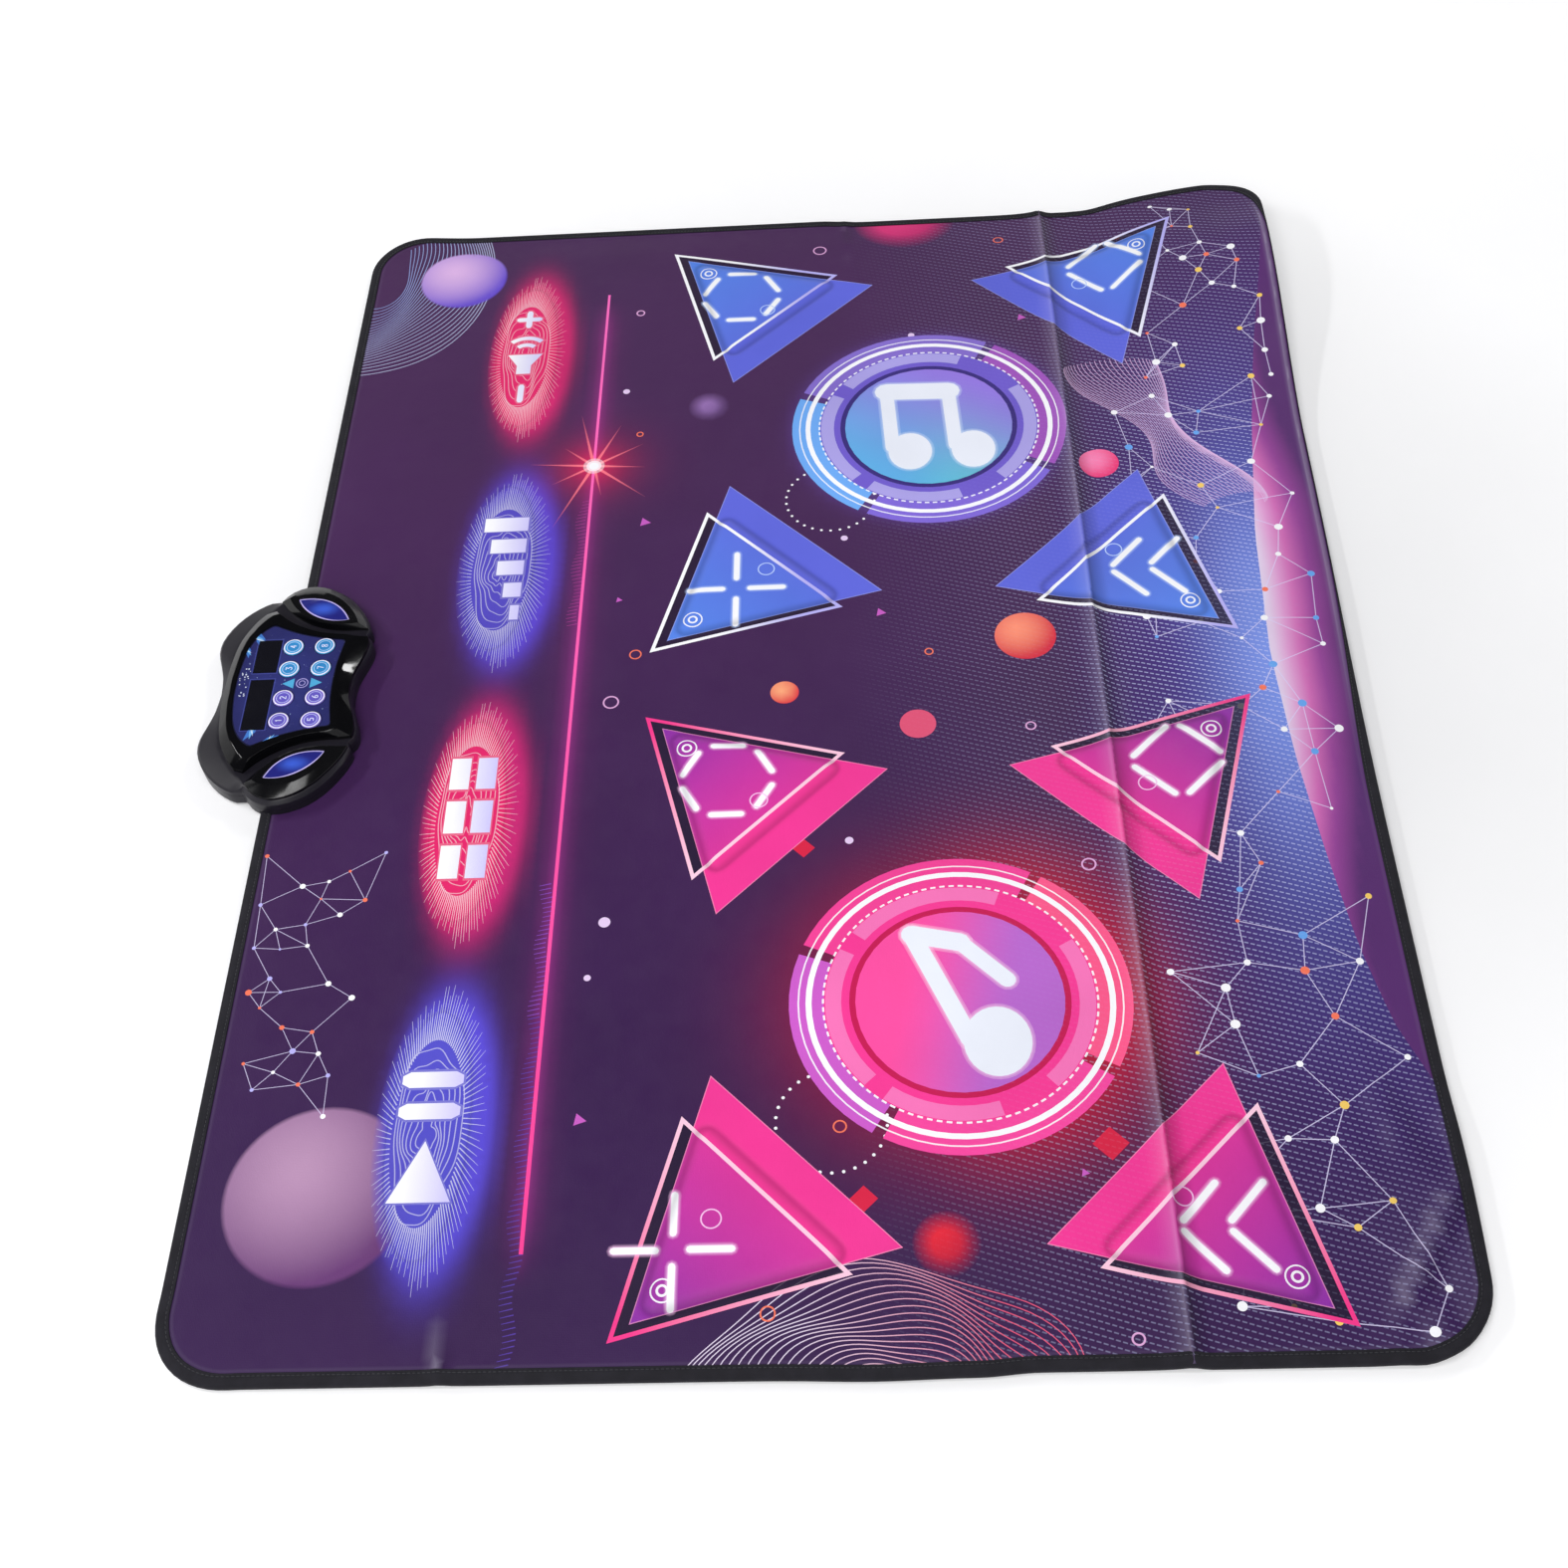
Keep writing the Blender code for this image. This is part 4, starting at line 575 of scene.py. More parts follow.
def paint_oval(centre, half, wide, colour, icon):
    """A soft oval with a ring of spikes, wavy rings and a plain mark, over a setting pad."""
    cx, cy = centre
    GUIDES.extend(oval(cx, cy, half * part, wide * part, 60) for part in (0.55, 0.8, 1.0, 1.2))
    paint([oval(cx, cy, half, wide, 70)], colour,
          lambda x, y: 0.95 * np.clip((1 - np.hypot((x - cx) / half, (y - cy) / wide)) / 0.25, 0, 1))
    pale = mix(colour, WHITE, 0.6)
    spikes = 120
    for step in range(spikes):
        turn = 2 * math.pi * (step + 0.5) / spikes
        long = 0.95 + 0.05 * math.sin(step * 2.4) + (0.1 if math.sin(turn) < 0 else -0.02)
        start, end = wheel(cx, cy, half * np.array([0.66, long]), wide * np.array([0.66, long]),
                           np.array([turn + 0.05, turn]))
        strip(start, end, 0.95, pale, 0.8, 0.25)
    turn = np.linspace(0, 2 * math.pi, 73)
    for part in (0.62, 0.54, 0.46, 0.38, 0.3, 0.22, 0.14):
        reach = part + 0.05 * np.sin(3 * turn + 9 * part) + 0.02 * np.sin(7 * turn + 4 * part)
        line(wheel(cx, cy, half * reach, wide * reach, turn), 0.9, pale, 0.6)
    fill = shade_two(rgb(206, 200, 250), WHITE, (cx, cy - 20, cx, cy + 14))
    for outline, shade in ((2.0, mix(colour, WHITE, 0.12)), (0.0, fill)):
        for shape, *values in icon:
            paint([shape(outline, *values) + centre], shade)


# The parts of the marks, each grown by an outline

def stroke(outline, a, b, width):
    return capsule(a, b, width + 2 * outline, 4)


def wave(outline, x, y, radius, width, reach):
    """A part of a ring that reaches as many degrees to either side of +X."""
    half, reach = width / 2 + outline, reach + 3 * outline
    return bow(x, y, radius + half, radius - half, -reach, reach)


def block(outline, *points):
    middle = np.mean(points, axis=0)
    away = points - middle
    return middle + away * (1 + outline * 1.3 / np.linalg.norm(away, axis=1))[:, None]


ICONS = [  # a loudspeaker with minus and plus, rising bars, a grid of squares, play and pause
    [(block, (-26, -7), (-26, 7), (-14, 7), (2, 17), (2, -17), (-14, -7)), (wave, 4, 0, 12, 5, 42),
     (wave, 4, 0, 22, 5, 42), (stroke, (-64, 0), (-44, 0), 6), (stroke, (44, 0), (64, 0), 6),
     (stroke, (54, -10), (54, 10), 6)],
    [(block, *box_loop((-62 + 27 * i, -20), (-45 + 27 * i, -12 + 8 * i))) for i in range(5)],
    [(block, *box_loop((-58 + 44 * i, -20 + 22 * j), (-26 + 44 * i, -4 + 22 * j)))
     for i in range(3) for j in range(2)],
    [(block, (-56, -23), (-56, 23), (-8, 0)), (stroke, (16, -17), (16, 17), 13),
     (stroke, (42, -17), (42, 17), 13)],
]


def paint_divider():
    """The bright line between the setting pads and the step pads, its fringe and the star on it."""
    x0, x1 = DIVIDER_ENDS
    for off in (3.5, 8, 16, 30):
        for side in (-1, 1):
            GUIDES.append(np.array([(x, DIVIDER_Y + side * off) for x in np.linspace(x0 - 20, x1 + 10, 100)]))
    for start, end, shade in ((60, 214, rgb(176, 66, 150)), (-330, -210, rgb(140, 80, 200)),
                              (-606, -330, rgb(92, 66, 176))):
        for x in np.arange(start, end, 4.2):
            away = 2.4 * math.sin(x / 9)
            strip((x, DIVIDER_Y + 1 + away), (x - 2, DIVIDER_Y + 10 + away), 0.9, shade, 0.8, 0.4)
    core = looped([(x0, DIVIDER_Y - 1.5), (x1, DIVIDER_Y - 1.2), (x1, DIVIDER_Y + 1.2), (x0, DIVIDER_Y + 1.5)])
    paint([dense(core, 9)[:-1]], shade_two(rgb(255, 66, 150), rgb(255, 112, 196), (x0, 0, x1, 0)))
    for step, long in enumerate((70, 38, 60, 44, 84, 40, 66, 48, 52, 58)):
        turn = math.radians(36 * step + 13)
        end = (STAR_X + long * math.cos(turn), DIVIDER_Y + long * math.sin(turn))
        strip((STAR_X, DIVIDER_Y), end, 3.4, rgb(255, 120, 140),
              lambda x, y, long=long: np.clip(1.15 - np.hypot(x - STAR_X, y - DIVIDER_Y) / long, 0, 1), 0.3)
    for radius, cover in ((10, 0.35), (7, 0.7), (4.6, 1.0)):
        disc(STAR_X, DIVIDER_Y, radius, WHITE, cover, 24)


def wander(seed):
    """A repeatable stream of numbers between 0 and 1."""
    value = seed
    while True:
        value = (value * 16807) % 2147483647
        yield value / 2147483647


def paint_links(seed, count, low, high, colours, reach, size=1.0):
    """Dots joined to their nearest neighbours by thin lines."""
    draw = wander(seed)
    dots = []
    while len(dots) < count:
        spot = (low[0] + (high[0] - low[0]) * next(draw), low[1] + (high[1] - low[1]) * next(draw))
        if all(math.dist(spot, dot) > reach * 0.42 for dot in dots):
            dots.append(spot)
    near = [sorted((math.dist(a, b), j) for j, b in enumerate(dots) if j != i)[:3] for i, a in enumerate(dots)]
    for i, a in enumerate(dots):
        for gap, j in near[i]:
            if gap < reach * 1.25 and (i < j or i not in [k for _, k in near[j]]):
                strip(a, dots[j], 0.75 * size, rgb(222, 214, 250), 0.75)
    for i, dot in enumerate(dots):
        disc(*dot, (1.4 + 2.4 * next(draw)) * size, colours[i % len(colours)], 1.0, 14)


def paint_fans():
    """Sheaves of fine lines at the far left corner, beside the right pads and at the near end."""
    turn = np.radians(np.linspace(182, 300, 30))
    for t in np.linspace(0, 1, 26):
        reach = 58 + 104 * t + 7 * np.sin(np.linspace(0, 6, 30) + 5 * t)
        shade = mix(rgb(150, 168, 226), WHITE, 0.35 * t)
        line(wheel(560, 452, reach * 1.05, reach * 0.8, turn), 0.9, shade, 0.8)
    x = np.linspace(356, 170, 40)
    along = (356 - x) / 186
    half = 34 - 12 * along + 12 * np.cos(2.4 * math.pi * along)
    for t in np.linspace(0, 1, 30):
        y = -286 - 88 * along ** 1.3 + half * np.cos(math.pi * t + 0.5 * along) + 5 * np.sin(9 * along + 2 * t)
        line(np.column_stack([x + 14 * np.sin(math.pi * t), y]), 0.75, rgb(226, 186, 230), 0.75)
    turn = np.radians(np.linspace(6, 174, 48))
    for step in range(22):
        reach = (34 + 4.6 * step) * (1 + 0.05 * np.sin(5 * turn + 0.35 * step))
        spots = np.column_stack([-640 + 0.82 * reach * np.sin(turn), -46 + 1.05 * reach * np.cos(turn)])
        spots = spots[spots[:, 0] > -607]
        if len(spots) > 2:
            line(spots, 0.75, shade_two(rgb(236, 222, 246), rgb(238, 92, 126), (0, 10, 0, -130)), 0.85)


def paint_small():
    """Balls, rings, dots and other small marks."""
    ball(536, 352, 45, rgb(232, 190, 242), rgb(104, 78, 206), 0.06)
    ball(606, -96, 52, rgb(232, 60, 130), rgb(170, 30, 100), 0.5)
    ball(28, -182, 26, rgb(255, 150, 120), rgb(214, 40, 66))
    ball(-26, 22, 12, rgb(255, 176, 130), rgb(222, 60, 70))
    ball(330, 96, 20, rgb(150, 112, 178), rgb(104, 72, 130), 0.7)
    ball(232, -262, 18, rgb(255, 140, 190), rgb(240, 52, 120))
    ball(-474, 350, 70, rgb(184, 144, 180), rgb(104, 58, 116), 0.05)
    ball(-520, -92, 24, rgb(230, 40, 60), rgb(150, 20, 60), 0.6)
    disc(-64, -88, 15, rgb(226, 84, 120), 0.95, 30)
    draw = wander(41)
    marks = [(470, 168), (356, 176), (180, 150), (22, 150), (-30, 168), (-250, 160), (-420, 168),
             (-566, 30), (556, -10), (420, -98), (60, -60), (14, -100), (-70, -180), (-180, -30),
             (-470, -190), (-430, -20), (-210, -215), (150, -30), (438, -205), (560, -190),
             (-590, -215), (-300, 170), (86, 168), (296, 160)]
    for i, (x, y) in enumerate(marks):
        size = 3 + 3 * next(draw)
        if i % 4 == 0:
            ring(x, y, size + 1.4, size, rgb(226, 170, 220), 0.95, 24)
        elif i % 4 == 1:
            disc(x, y, size * 0.8, rgb(232, 206, 244), 0.95, 18)
        elif i % 4 == 2:
            paint([oval(x, y, size, size, 3, 20, 380)], rgb(206, 96, 200), 0.9)
        else:
            ring(x, y, size, size - 1.2, ORANGE, 0.95, 24)
    for x, y, size in ((-186, 6, 9), (-448, -210, 13), (-486, -36, 10)):
        paint([[(x - size, y), (x, y - size), (x + size, y), (x, y + size)]], rgb(214, 34, 70))
    for cx, cy in ((PINK_FIELD[0] - 98, PINK_FIELD[1] + 96), (BLUE_FIELD[0] - 92, BLUE_FIELD[1] + 92)):
        for step in range(0, 360, 12):
            turn = math.radians(step)
            disc(cx + 40 * math.cos(turn), cy + 40 * math.sin(turn), 1.3, WHITE, 0.95, 8)


def paint_everything():
    GUIDES.extend(looped(edge_path(inset)[0]) for inset in (10.2, 11.4, 13.2))
    paint_strip()
    paint_fans()
    paint_small()
    paint_links(77, 80, (-590, -428), (330, -262), [WHITE, YELLOW, WHITE, SKY, WHITE, ORANGE], 58)
    paint_links(23, 30, (330, -430), (590, -300), [WHITE, ORANGE, WHITE, YELLOW], 44)
    paint_links(9, 30, (-412, 338), (-176, 437), [WHITE, ORANGE, LAVENDER], 38, 0.7)
    paint_medallion(*PINK_FIELD, True)
    paint_medallion(*BLUE_FIELD, False)
    for kind, (sx, sy), pink_at, blue_at in PAD_FIGURES:
        paint_pad(PINK_PADS_X, sx, sy, kind, pink_at, True)
    for kind, (sx, sy), pink_at, blue_at in PAD_FIGURES:
        paint_pad(BLUE_FIELD[0], sx, sy, kind, blue_at, False)
    paint_divider()
    for (centre, half, wide, colour, _), icon in zip(OVALS, ICONS):
        paint_oval(centre, half, wide, colour, icon)


def mat_base(x, y):
    """The mat's ground, and how strongly the dash pattern shows on it."""
    dash = ramp(-y, 120, 330) * (0.25 + 0.75 * np.exp(-((x - 20) / 420) ** 2))
    return ground(x, y), np.maximum(dash, 0.35 * ramp(-y, 20, 200))


def valued(value, x, y):
    """The colour or cover at these places. It is a value, or a function of place."""
    return value(x, y) if callable(value) else value


def coloured(corners, base):
    """The print's colour at the triangles' corners, with painted sheen and shade laid over it on the mat, and how
    strongly the dash pattern shows there.
    """
    x, y = corners[..., 0], corners[..., 1]
    middles = corners.mean(axis=1)
    colour, dash = base(x, y)
    low, high = corners.min(axis=(0, 1)), corners.max(axis=(0, 1))
    for shape in SHAPES:
        if (shape["low"] > high).any() or (shape["high"] < low).any():
            continue
        hit = inside(middles, shape["loops"])
        if shape["within"] is not None:
            hit &= inside(middles, shape["within"])
        if hit.any():
            tint, cover = (valued(shape[key], x[hit], y[hit]) for key in ("colour", "cover"))
            colour[hit] = mix(colour[hit], tint, cover)
            dash[hit] = dash[hit] * (1 - cover * 0.85) if shape["dash"] is None else shape["dash"]
    if base is mat_base:
        # painted sheen and shade on the folds, and a faint painted highlight along the line 11.4 mm inside the
        # mat's edge, just inside the binding
        pale = painted_sheen_and_shade(x, y) + 0.03 * np.exp(-((edge_gap(x, y) - 11.4) / 1.2) ** 2)
        colour = mix(colour, PAINTED_SHEEN, np.maximum(pale, 0)) * (1 + np.minimum(pale, 0))[..., None]
    return colour, dash


# Meshes

TRAIL_STEP = 9.0  # the longest piece of a printed outline, so that it follows the mat's waves


def triangulate(trails, loops, grid_step, low, high):
    """Points and triangles that fill the loops inside the box and keep every piece of the trails as an edge."""
    points, edges = [], []
    for trail in trails:
        starts, ends = trail[:-1], trail[1:]
        keep = ((np.maximum(starts, ends) > low - 2) & (np.minimum(starts, ends) < high + 2)).all(axis=1)
        for a, b in zip(starts[keep], ends[keep]):
            edges.append((len(points), len(points) + 1))
            points += [a, b]
    grid = np.meshgrid(*(np.arange(low[k] + grid_step / 2, high[k], grid_step) for k in (0, 1)))
    grid = np.stack(grid, axis=-1).reshape(-1, 2)
    grid[:, 0] += 0.25 * grid_step * np.sin(grid[:, 1] * 1.7)
    verts, _, faces, *_ = delaunay_2d_cdt([Vector(p) for p in (*points, *grid)], edges, [], 0, 0.002)
    verts, faces = np.array(verts), np.array([f for f in faces if len(f) == 3])
    a, b, c = (verts[faces[:, i]] for i in range(3))
    area = (b[:, 0] - a[:, 0]) * (c[:, 1] - a[:, 1]) - (b[:, 1] - a[:, 1]) * (c[:, 0] - a[:, 0])
    faces[area < 0] = faces[area < 0][:, ::-1]
    middles = (a + b + c) / 3
    keep = inside(middles, loops) & (middles > low).all(axis=1) & (middles < high).all(axis=1)
    used, faces = np.unique(faces[keep & (np.abs(area) > 1e-5)], return_inverse=True)
    return verts[used], faces.reshape(-1, 3)


def rim_of(faces):
    """The triangles' border edges, in their own direction."""
    edges = np.concatenate([faces[:, [0, 1]], faces[:, [1, 2]], faces[:, [2, 0]]])
    known = {tuple(e) for e in edges.tolist()}
    return [e for e in known if (e[1], e[0]) not in known]


def add_object(name, points, faces, material):
    mesh = bpy.data.meshes.new(name)
    mesh.from_pydata((np.asarray(points) * MM).tolist(), [], [list(map(int, f)) for f in faces])
    mesh.polygons.foreach_set("use_smooth", [True] * len(mesh.polygons))
    mesh.update()
    mesh.materials.append(material)
    obj = bpy.data.objects.new(name, mesh)
    bpy.context.scene.collection.objects.link(obj)
    return obj


def slab(name, loops, low, high, top, bottom, material, body, printed=False, dip=zero, grid=9.0, extra=(),
         base=mat_base, under_grid=20.0):
    """A closed piece of a mat layer, between two heights of its thickness, that lies as the mat lies.
    dip(x, y) is how far its top is drawn down at its seams, and extra are lines that its top follows."""
    low = np.maximum(low, np.min([loop.min(axis=0) for loop in loops], axis=0) - 1)
    high = np.minimum(high, np.max([loop.max(axis=0) for loop in loops], axis=0) + 1)
    along = np.arange(-MAT_LENGTH / 2 - 10, MAT_LENGTH / 2 + 10, 8.0)
    bends = [np.column_stack([along, CREASE_Y + CREASE_SLOPE * along + off]) for off in CREASE_STEPS]
    bends += [np.column_stack([along, 0 * along - MAT_WIDTH / 2 + off]) for off in CURL_STEPS]
    trails = [dense(looped(loop), grid) for loop in (box_loop(low, high), *loops)] + bends
    trails += [dense(trail, 6) for trail in extra]
    if printed:
        for shape in SHAPES:
            if (shape["low"] < high).all() and (shape["high"] > low).all():
                trails += [dense(looped(loop), TRAIL_STEP) for loop in shape["loops"]]
        trails += [dense(looped(trail), TRAIL_STEP)[:-1] for trail in GUIDES
                   if (trail.min(axis=0) < high).all() and (trail.max(axis=0) > low).all()]
    flat, faces = triangulate(trails, loops, grid, low, high)
    rim = rim_of(faces)
    under_flat, under = triangulate([flat[list(edge)] for edge in rim] + bends, loops, under_grid, low, high)

    above = {tuple(np.round(flat[v], 2)): v for edge in rim for v in edge}
    found = [above.get(tuple(p)) for p in np.round(under_flat, 2)]
    below = {v: len(flat) + i for i, v in enumerate(found) if v is not None}
    walls = [[b, a, below[a], below[b]] for a, b in rim if a in below and b in below]
    walls = np.array(walls, int).reshape(-1, 4)
    ends = walls[:, [0, 1, 1, 0]]
    dips = dip(*flat.T)
    points = np.vstack([laid(flat, top, dips), laid(under_flat, bottom)])
    under_faces = under[:, [0, 2, 1]]
    obj = add_object(name, points, [*faces, *(under_faces + len(flat)), *walls], material)

    up = lean(flat, dip)
    if printed and base is mat_base:  # a seam's walls are shaded like the top beside them
        side = up[ends.reshape(-1)]
    else:
        across = points[walls[:, 0]] - points[walls[:, 1]]
        side = np.column_stack([across[:, 1], -across[:, 0], 0 * across[:, 0]])
        side = np.repeat(side / np.maximum(np.linalg.norm(side, axis=1), TINY)[:, None], 4, axis=0)
    normals = np.vstack([up[faces.reshape(-1)], -lean(under_flat)[under_faces.reshape(-1)], side])
    obj.data.normals_split_custom_set(normals.tolist())

    ink_and_painted_light = np.tile(np.array([*PLAIN_INK, 0.0], np.float32), (len(obj.data.loops), 1))
    if printed:
        colour, dash = coloured(flat[faces], base)
        # painted shade in the grooves round the pads, darkest where the top is drawn down deepest
        if base is mat_base:
            colour = colour * (1 - 0.3 * (dips / max(dips.max(), 0.3))[faces] ** 1.5)[..., None]
        tint = np.zeros((len(flat), 3))
        tint[faces.reshape(-1)] = colour.reshape(-1, 3)
        ink_and_painted_light[:faces.size, :3], ink_and_painted_light[:faces.size, 3] = colour.reshape(-1, 3), dash.reshape(-1)
        ink_and_painted_light[len(ink_and_painted_light) - walls.size:, :3] = tint[ends.reshape(-1)]
    obj.data.color_attributes.new("ink_and_painted_light", "FLOAT_COLOR", "CORNER").data.foreach_set("color", ink_and_painted_light.reshape(-1))
    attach(obj, body)
    return obj


# Shader helpers

class Shader:
    """A material's node tree with short ways to add and join nodes."""

    def __init__(self, name):
        self.material = bpy.data.materials.new(name)
        self.material.use_nodes = True
        self.tree = self.material.node_tree
        self.surface = self.tree.nodes["Principled BSDF"]

    def node(self, kind, **settings):
        made = self.tree.nodes.new(kind)
        for key, value in settings.items():
            setattr(made, key, value)
        return made

    def feed(self, socket, value):
        if isinstance(value, bpy.types.NodeSocket):
            self.tree.links.new(value, socket)
        elif isinstance(value, (tuple, list, np.ndarray)):
            alpha = [1.0] * (len(socket.default_value) - len(value))
            socket.default_value = [*value, *alpha]
        else:
            socket.default_value = value

    def fill(self, made, **values):
        """Sets or joins the node's inputs, whose names have _ for a space."""
        for key, value in values.items():
            self.feed(made.inputs[key.replace("_", " ")], value)
        return made

    def math(self, operation, *values):
        made = self.node("ShaderNodeMath", operation=operation)
        for socket, value in zip(made.inputs, values):
            self.feed(socket, value)
        return made.outputs[0]

    def noise(self, scale, detail=3.0):
        made = self.node("ShaderNodeTexNoise")
        return self.fill(made, Scale=scale, Detail=detail, Vector=self.place()).outputs["Fac"]

    def place(self):
        """Position on the object, in metres of the shared frame."""
        return self.node("ShaderNodeTexCoord").outputs["Object"]

    def axes(self, vector=None):
        """The three parts of the vector, or of the position."""
        made = self.node("ShaderNodeSeparateXYZ")
        self.feed(made.inputs[0], vector or self.place())
        return made.outputs

    def off_middle(self, value):
        """How far the value lies past the middle between two whole numbers."""
        return self.math("SUBTRACT", self.math("FRACT", value), 0.5)

    def level(self, value, low, high, to_low=0.0, to_high=1.0):
        """The value carried from the span low to high over to the span to_low to to_high, and held there."""
        made = self.node("ShaderNodeMapRange", clamp=True)
        return self.fill(made, Value=value, From_Min=low, From_Max=high, To_Min=to_low, To_Max=to_high).outputs[0]

    def blend(self, amount, a, b, how="MIX"):
        made = self.node("ShaderNodeMix", data_type="RGBA", blend_type=how)
        for index, value in ((0, amount), (6, a), (7, b)):  # the sockets for colours
            self.feed(made.inputs[index], value)
        return made.outputs[2]

    def bump(self, height, strength, distance, under=None):
        made = self.node("ShaderNodeBump")
        if under is not None:
            self.feed(made.inputs["Normal"], under)
        return self.fill(made, Height=height, Strength=strength, Distance=distance).outputs[0]

    def set(self, **values):
        self.fill(self.surface, **values)
        return self.material


DASH_SLOPE = 0.34  # how far the rows of dashes turn away from the mat's width
DASH_ROW = 0.00495  # in metres, as all lengths in the materials are
DASH_CELL = 0.005
DOT_PITCH = 0.008
TRACE_PITCH = 0.024


def cover_vinyl():
    """Printed cover cloth with a fine pressed grain and rows of small dashes as strong as the print says."""
    s = Shader("printed_cover")
    ink_and_painted_light = s.node("ShaderNodeAttribute", attribute_name="ink_and_painted_light").outputs
    x, y, _ = s.axes()
    row = s.math("DIVIDE", s.math("MULTIPLY_ADD", y, -DASH_SLOPE, x), DASH_ROW)
    shifted = s.math("MULTIPLY", s.math("FLOOR", row), 0.5)
    cell = s.math("ADD", s.math("DIVIDE", s.math("MULTIPLY_ADD", x, DASH_SLOPE, y), DASH_CELL), shifted)
    across, lengthwise = (s.math("ABSOLUTE", s.off_middle(value)) for value in (row, cell))
    dash = s.math("MULTIPLY", s.level(across, 0.07, 0.15, 1, 0), s.level(lengthwise, 0.3, 0.38, 1, 0))
    amount = s.math("MULTIPLY", s.math("MULTIPLY", dash, ink_and_painted_light["Alpha"]), 0.72)
    printed = s.blend(amount, ink_and_painted_light["Color"], rgb(196, 202, 246))
    shade = s.blend(1.0, printed, s.level(s.noise(7, 3), 0.3, 0.7, 0.94, 1.06), "MULTIPLY")
    grain = s.fill(s.node("ShaderNodeTexVoronoi", feature="F1"), Vector=s.place(), Scale=900.0)
    cloth = s.math("ADD", *(s.math("SINE", s.math("MULTIPLY", axis, 5200)) for axis in (x, y)))
    fine = s.bump(s.math("MULTIPLY_ADD", cloth, 0.16, grain.outputs["Distance"]), 0.22, 0.0002)
    soft = s.bump(s.noise(38, 3), 0.35, 0.0012, fine)
    rough = s.level(s.noise(60, 4), 0.3, 0.7, 0.40, 0.52)
    return s.set(Base_Color=shade, Roughness=rough, Normal=soft, Specular_IOR_Level=0.18)


def backing_cloth():
    """Grey cloth with rows of small rubber dots."""
    s = Shader("backing_cloth")
    x, y, _ = s.axes()
    row = s.math("DIVIDE", x, DOT_PITCH)
    shifted = s.math("MULTIPLY", s.math("MODULO", s.math("FLOOR", row), 2.0), 0.5)
    dx, dy = (s.off_middle(value) for value in (row, s.math("ADD", s.math("DIVIDE", y, DOT_PITCH), shifted)))
    reach = s.math("SQRT", s.math("ADD", s.math("MULTIPLY", dx, dx), s.math("MULTIPLY", dy, dy)))
    dots = s.level(reach, 0.16, 0.22, 1, 0)
    fibre = s.noise(520, 4)
    cloth = s.blend(s.level(fibre, 0.3, 0.7), rgb(58, 60, 64), rgb(88, 90, 95))
    lumps = s.math("MULTIPLY_ADD", dots, 0.8, s.math("MULTIPLY", fibre, 0.5))
    return s.set(Base_Color=s.blend(dots, cloth, rgb(34, 35, 38)), Roughness=0.85,
                 Normal=s.bump(lumps, 0.5, 0.0004), Specular_IOR_Level=0.2)


def circuit_film():
    """Pale film with silver traces along it."""
    s = Shader("circuit_film")
    trace = s.math("ABSOLUTE", s.off_middle(s.math("DIVIDE", s.axes()[1], TRACE_PITCH)))
    shade = s.blend(s.level(trace, 0.03, 0.05, 1, 0), rgb(206, 214, 220), rgb(128, 130, 134))
    return s.set(Base_Color=shade, Roughness=s.level(s.noise(50), 0.3, 0.7, 0.2, 0.35))


def plain(name, colour, roughness, grain=(400, 0.1, 0.0002), metallic=0.0, wear=0.05, specular=0.5, speck=None):
    """A surface of one colour with fine grain and uneven sheen. grain is its scale, strength and depth."""
    s = Shader(name)
    scale, strength, depth = grain
    shade = s.blend(s.level(s.noise(scale / 12, 4), 0.35, 0.65), colour * (1 - wear * 2),
                    np.minimum(colour * (1 + wear * 2) + wear * 0.02, 1))
    if speck is not None:
        speck_colour, speck_scale, least = speck
        shade = s.blend(s.level(s.noise(speck_scale, 1), least, least + 0.02), shade, speck_colour)
    rough = s.level(s.noise(scale / 6, 5), 0.3, 0.7, max(roughness - 0.06, 0.02), min(roughness + 0.08, 1))
    normal = s.bump(s.noise(scale * 6, 2), strength, depth)
    return s.set(Base_Color=shade, Roughness=rough, Normal=normal, Metallic=metallic,
                 Specular_IOR_Level=specular, Coat_Roughness=0.06)


def woven(name, colour, pitch):
    """Woven tape, by the run and spread kept with each point."""
    s = Shader(name)
    along = s.axes(s.node("ShaderNodeAttribute", attribute_name="weave").outputs["Vector"])
    u, v = (s.math("SINE", s.math("MULTIPLY", along[k], 2 * math.pi / pitch)) for k in (0, 1))
    weave = s.math("MULTIPLY", u, v)
    shade = s.blend(s.level(weave, -1, 1), colour * 0.62, colour * 1.45)
    shade = s.blend(s.level(s.noise(90, 4), 0.4, 0.75, 0, 0.35), shade, colour * 2.2)
    return s.set(Base_Color=shade, Roughness=0.8, Normal=s.bump(weave, 0.55, 0.00022), Specular_IOR_Level=0.2)


# Mat

def softened(loop, times=2):
    """The loop with its corners cut finer, so that a coarse round reads as a curve."""
    for _ in range(times):
        onward = np.roll(loop, -1, axis=0)
        gap = np.linalg.norm(onward - loop, axis=1)[:, None]
        cut = np.minimum(gap * 0.25, 2.5)
        step = (onward - loop) / np.maximum(gap, TINY) * cut
        loop = np.stack([loop + step, onward - step], axis=1).reshape(-1, 2)
    return loop


STEP_PADS = [f"{player}_player_{row}_{side}_pad" for player in ("left", "right")
             for row in ("upper", "lower") for side in ("left", "right")]
SETTING_PADS = ["volume_pad", "level_pad", "mode_pad", "start_pad"]
SEAM_TAKEN = 0.17  # taken from each side of the 0.4 mm seam round a pad


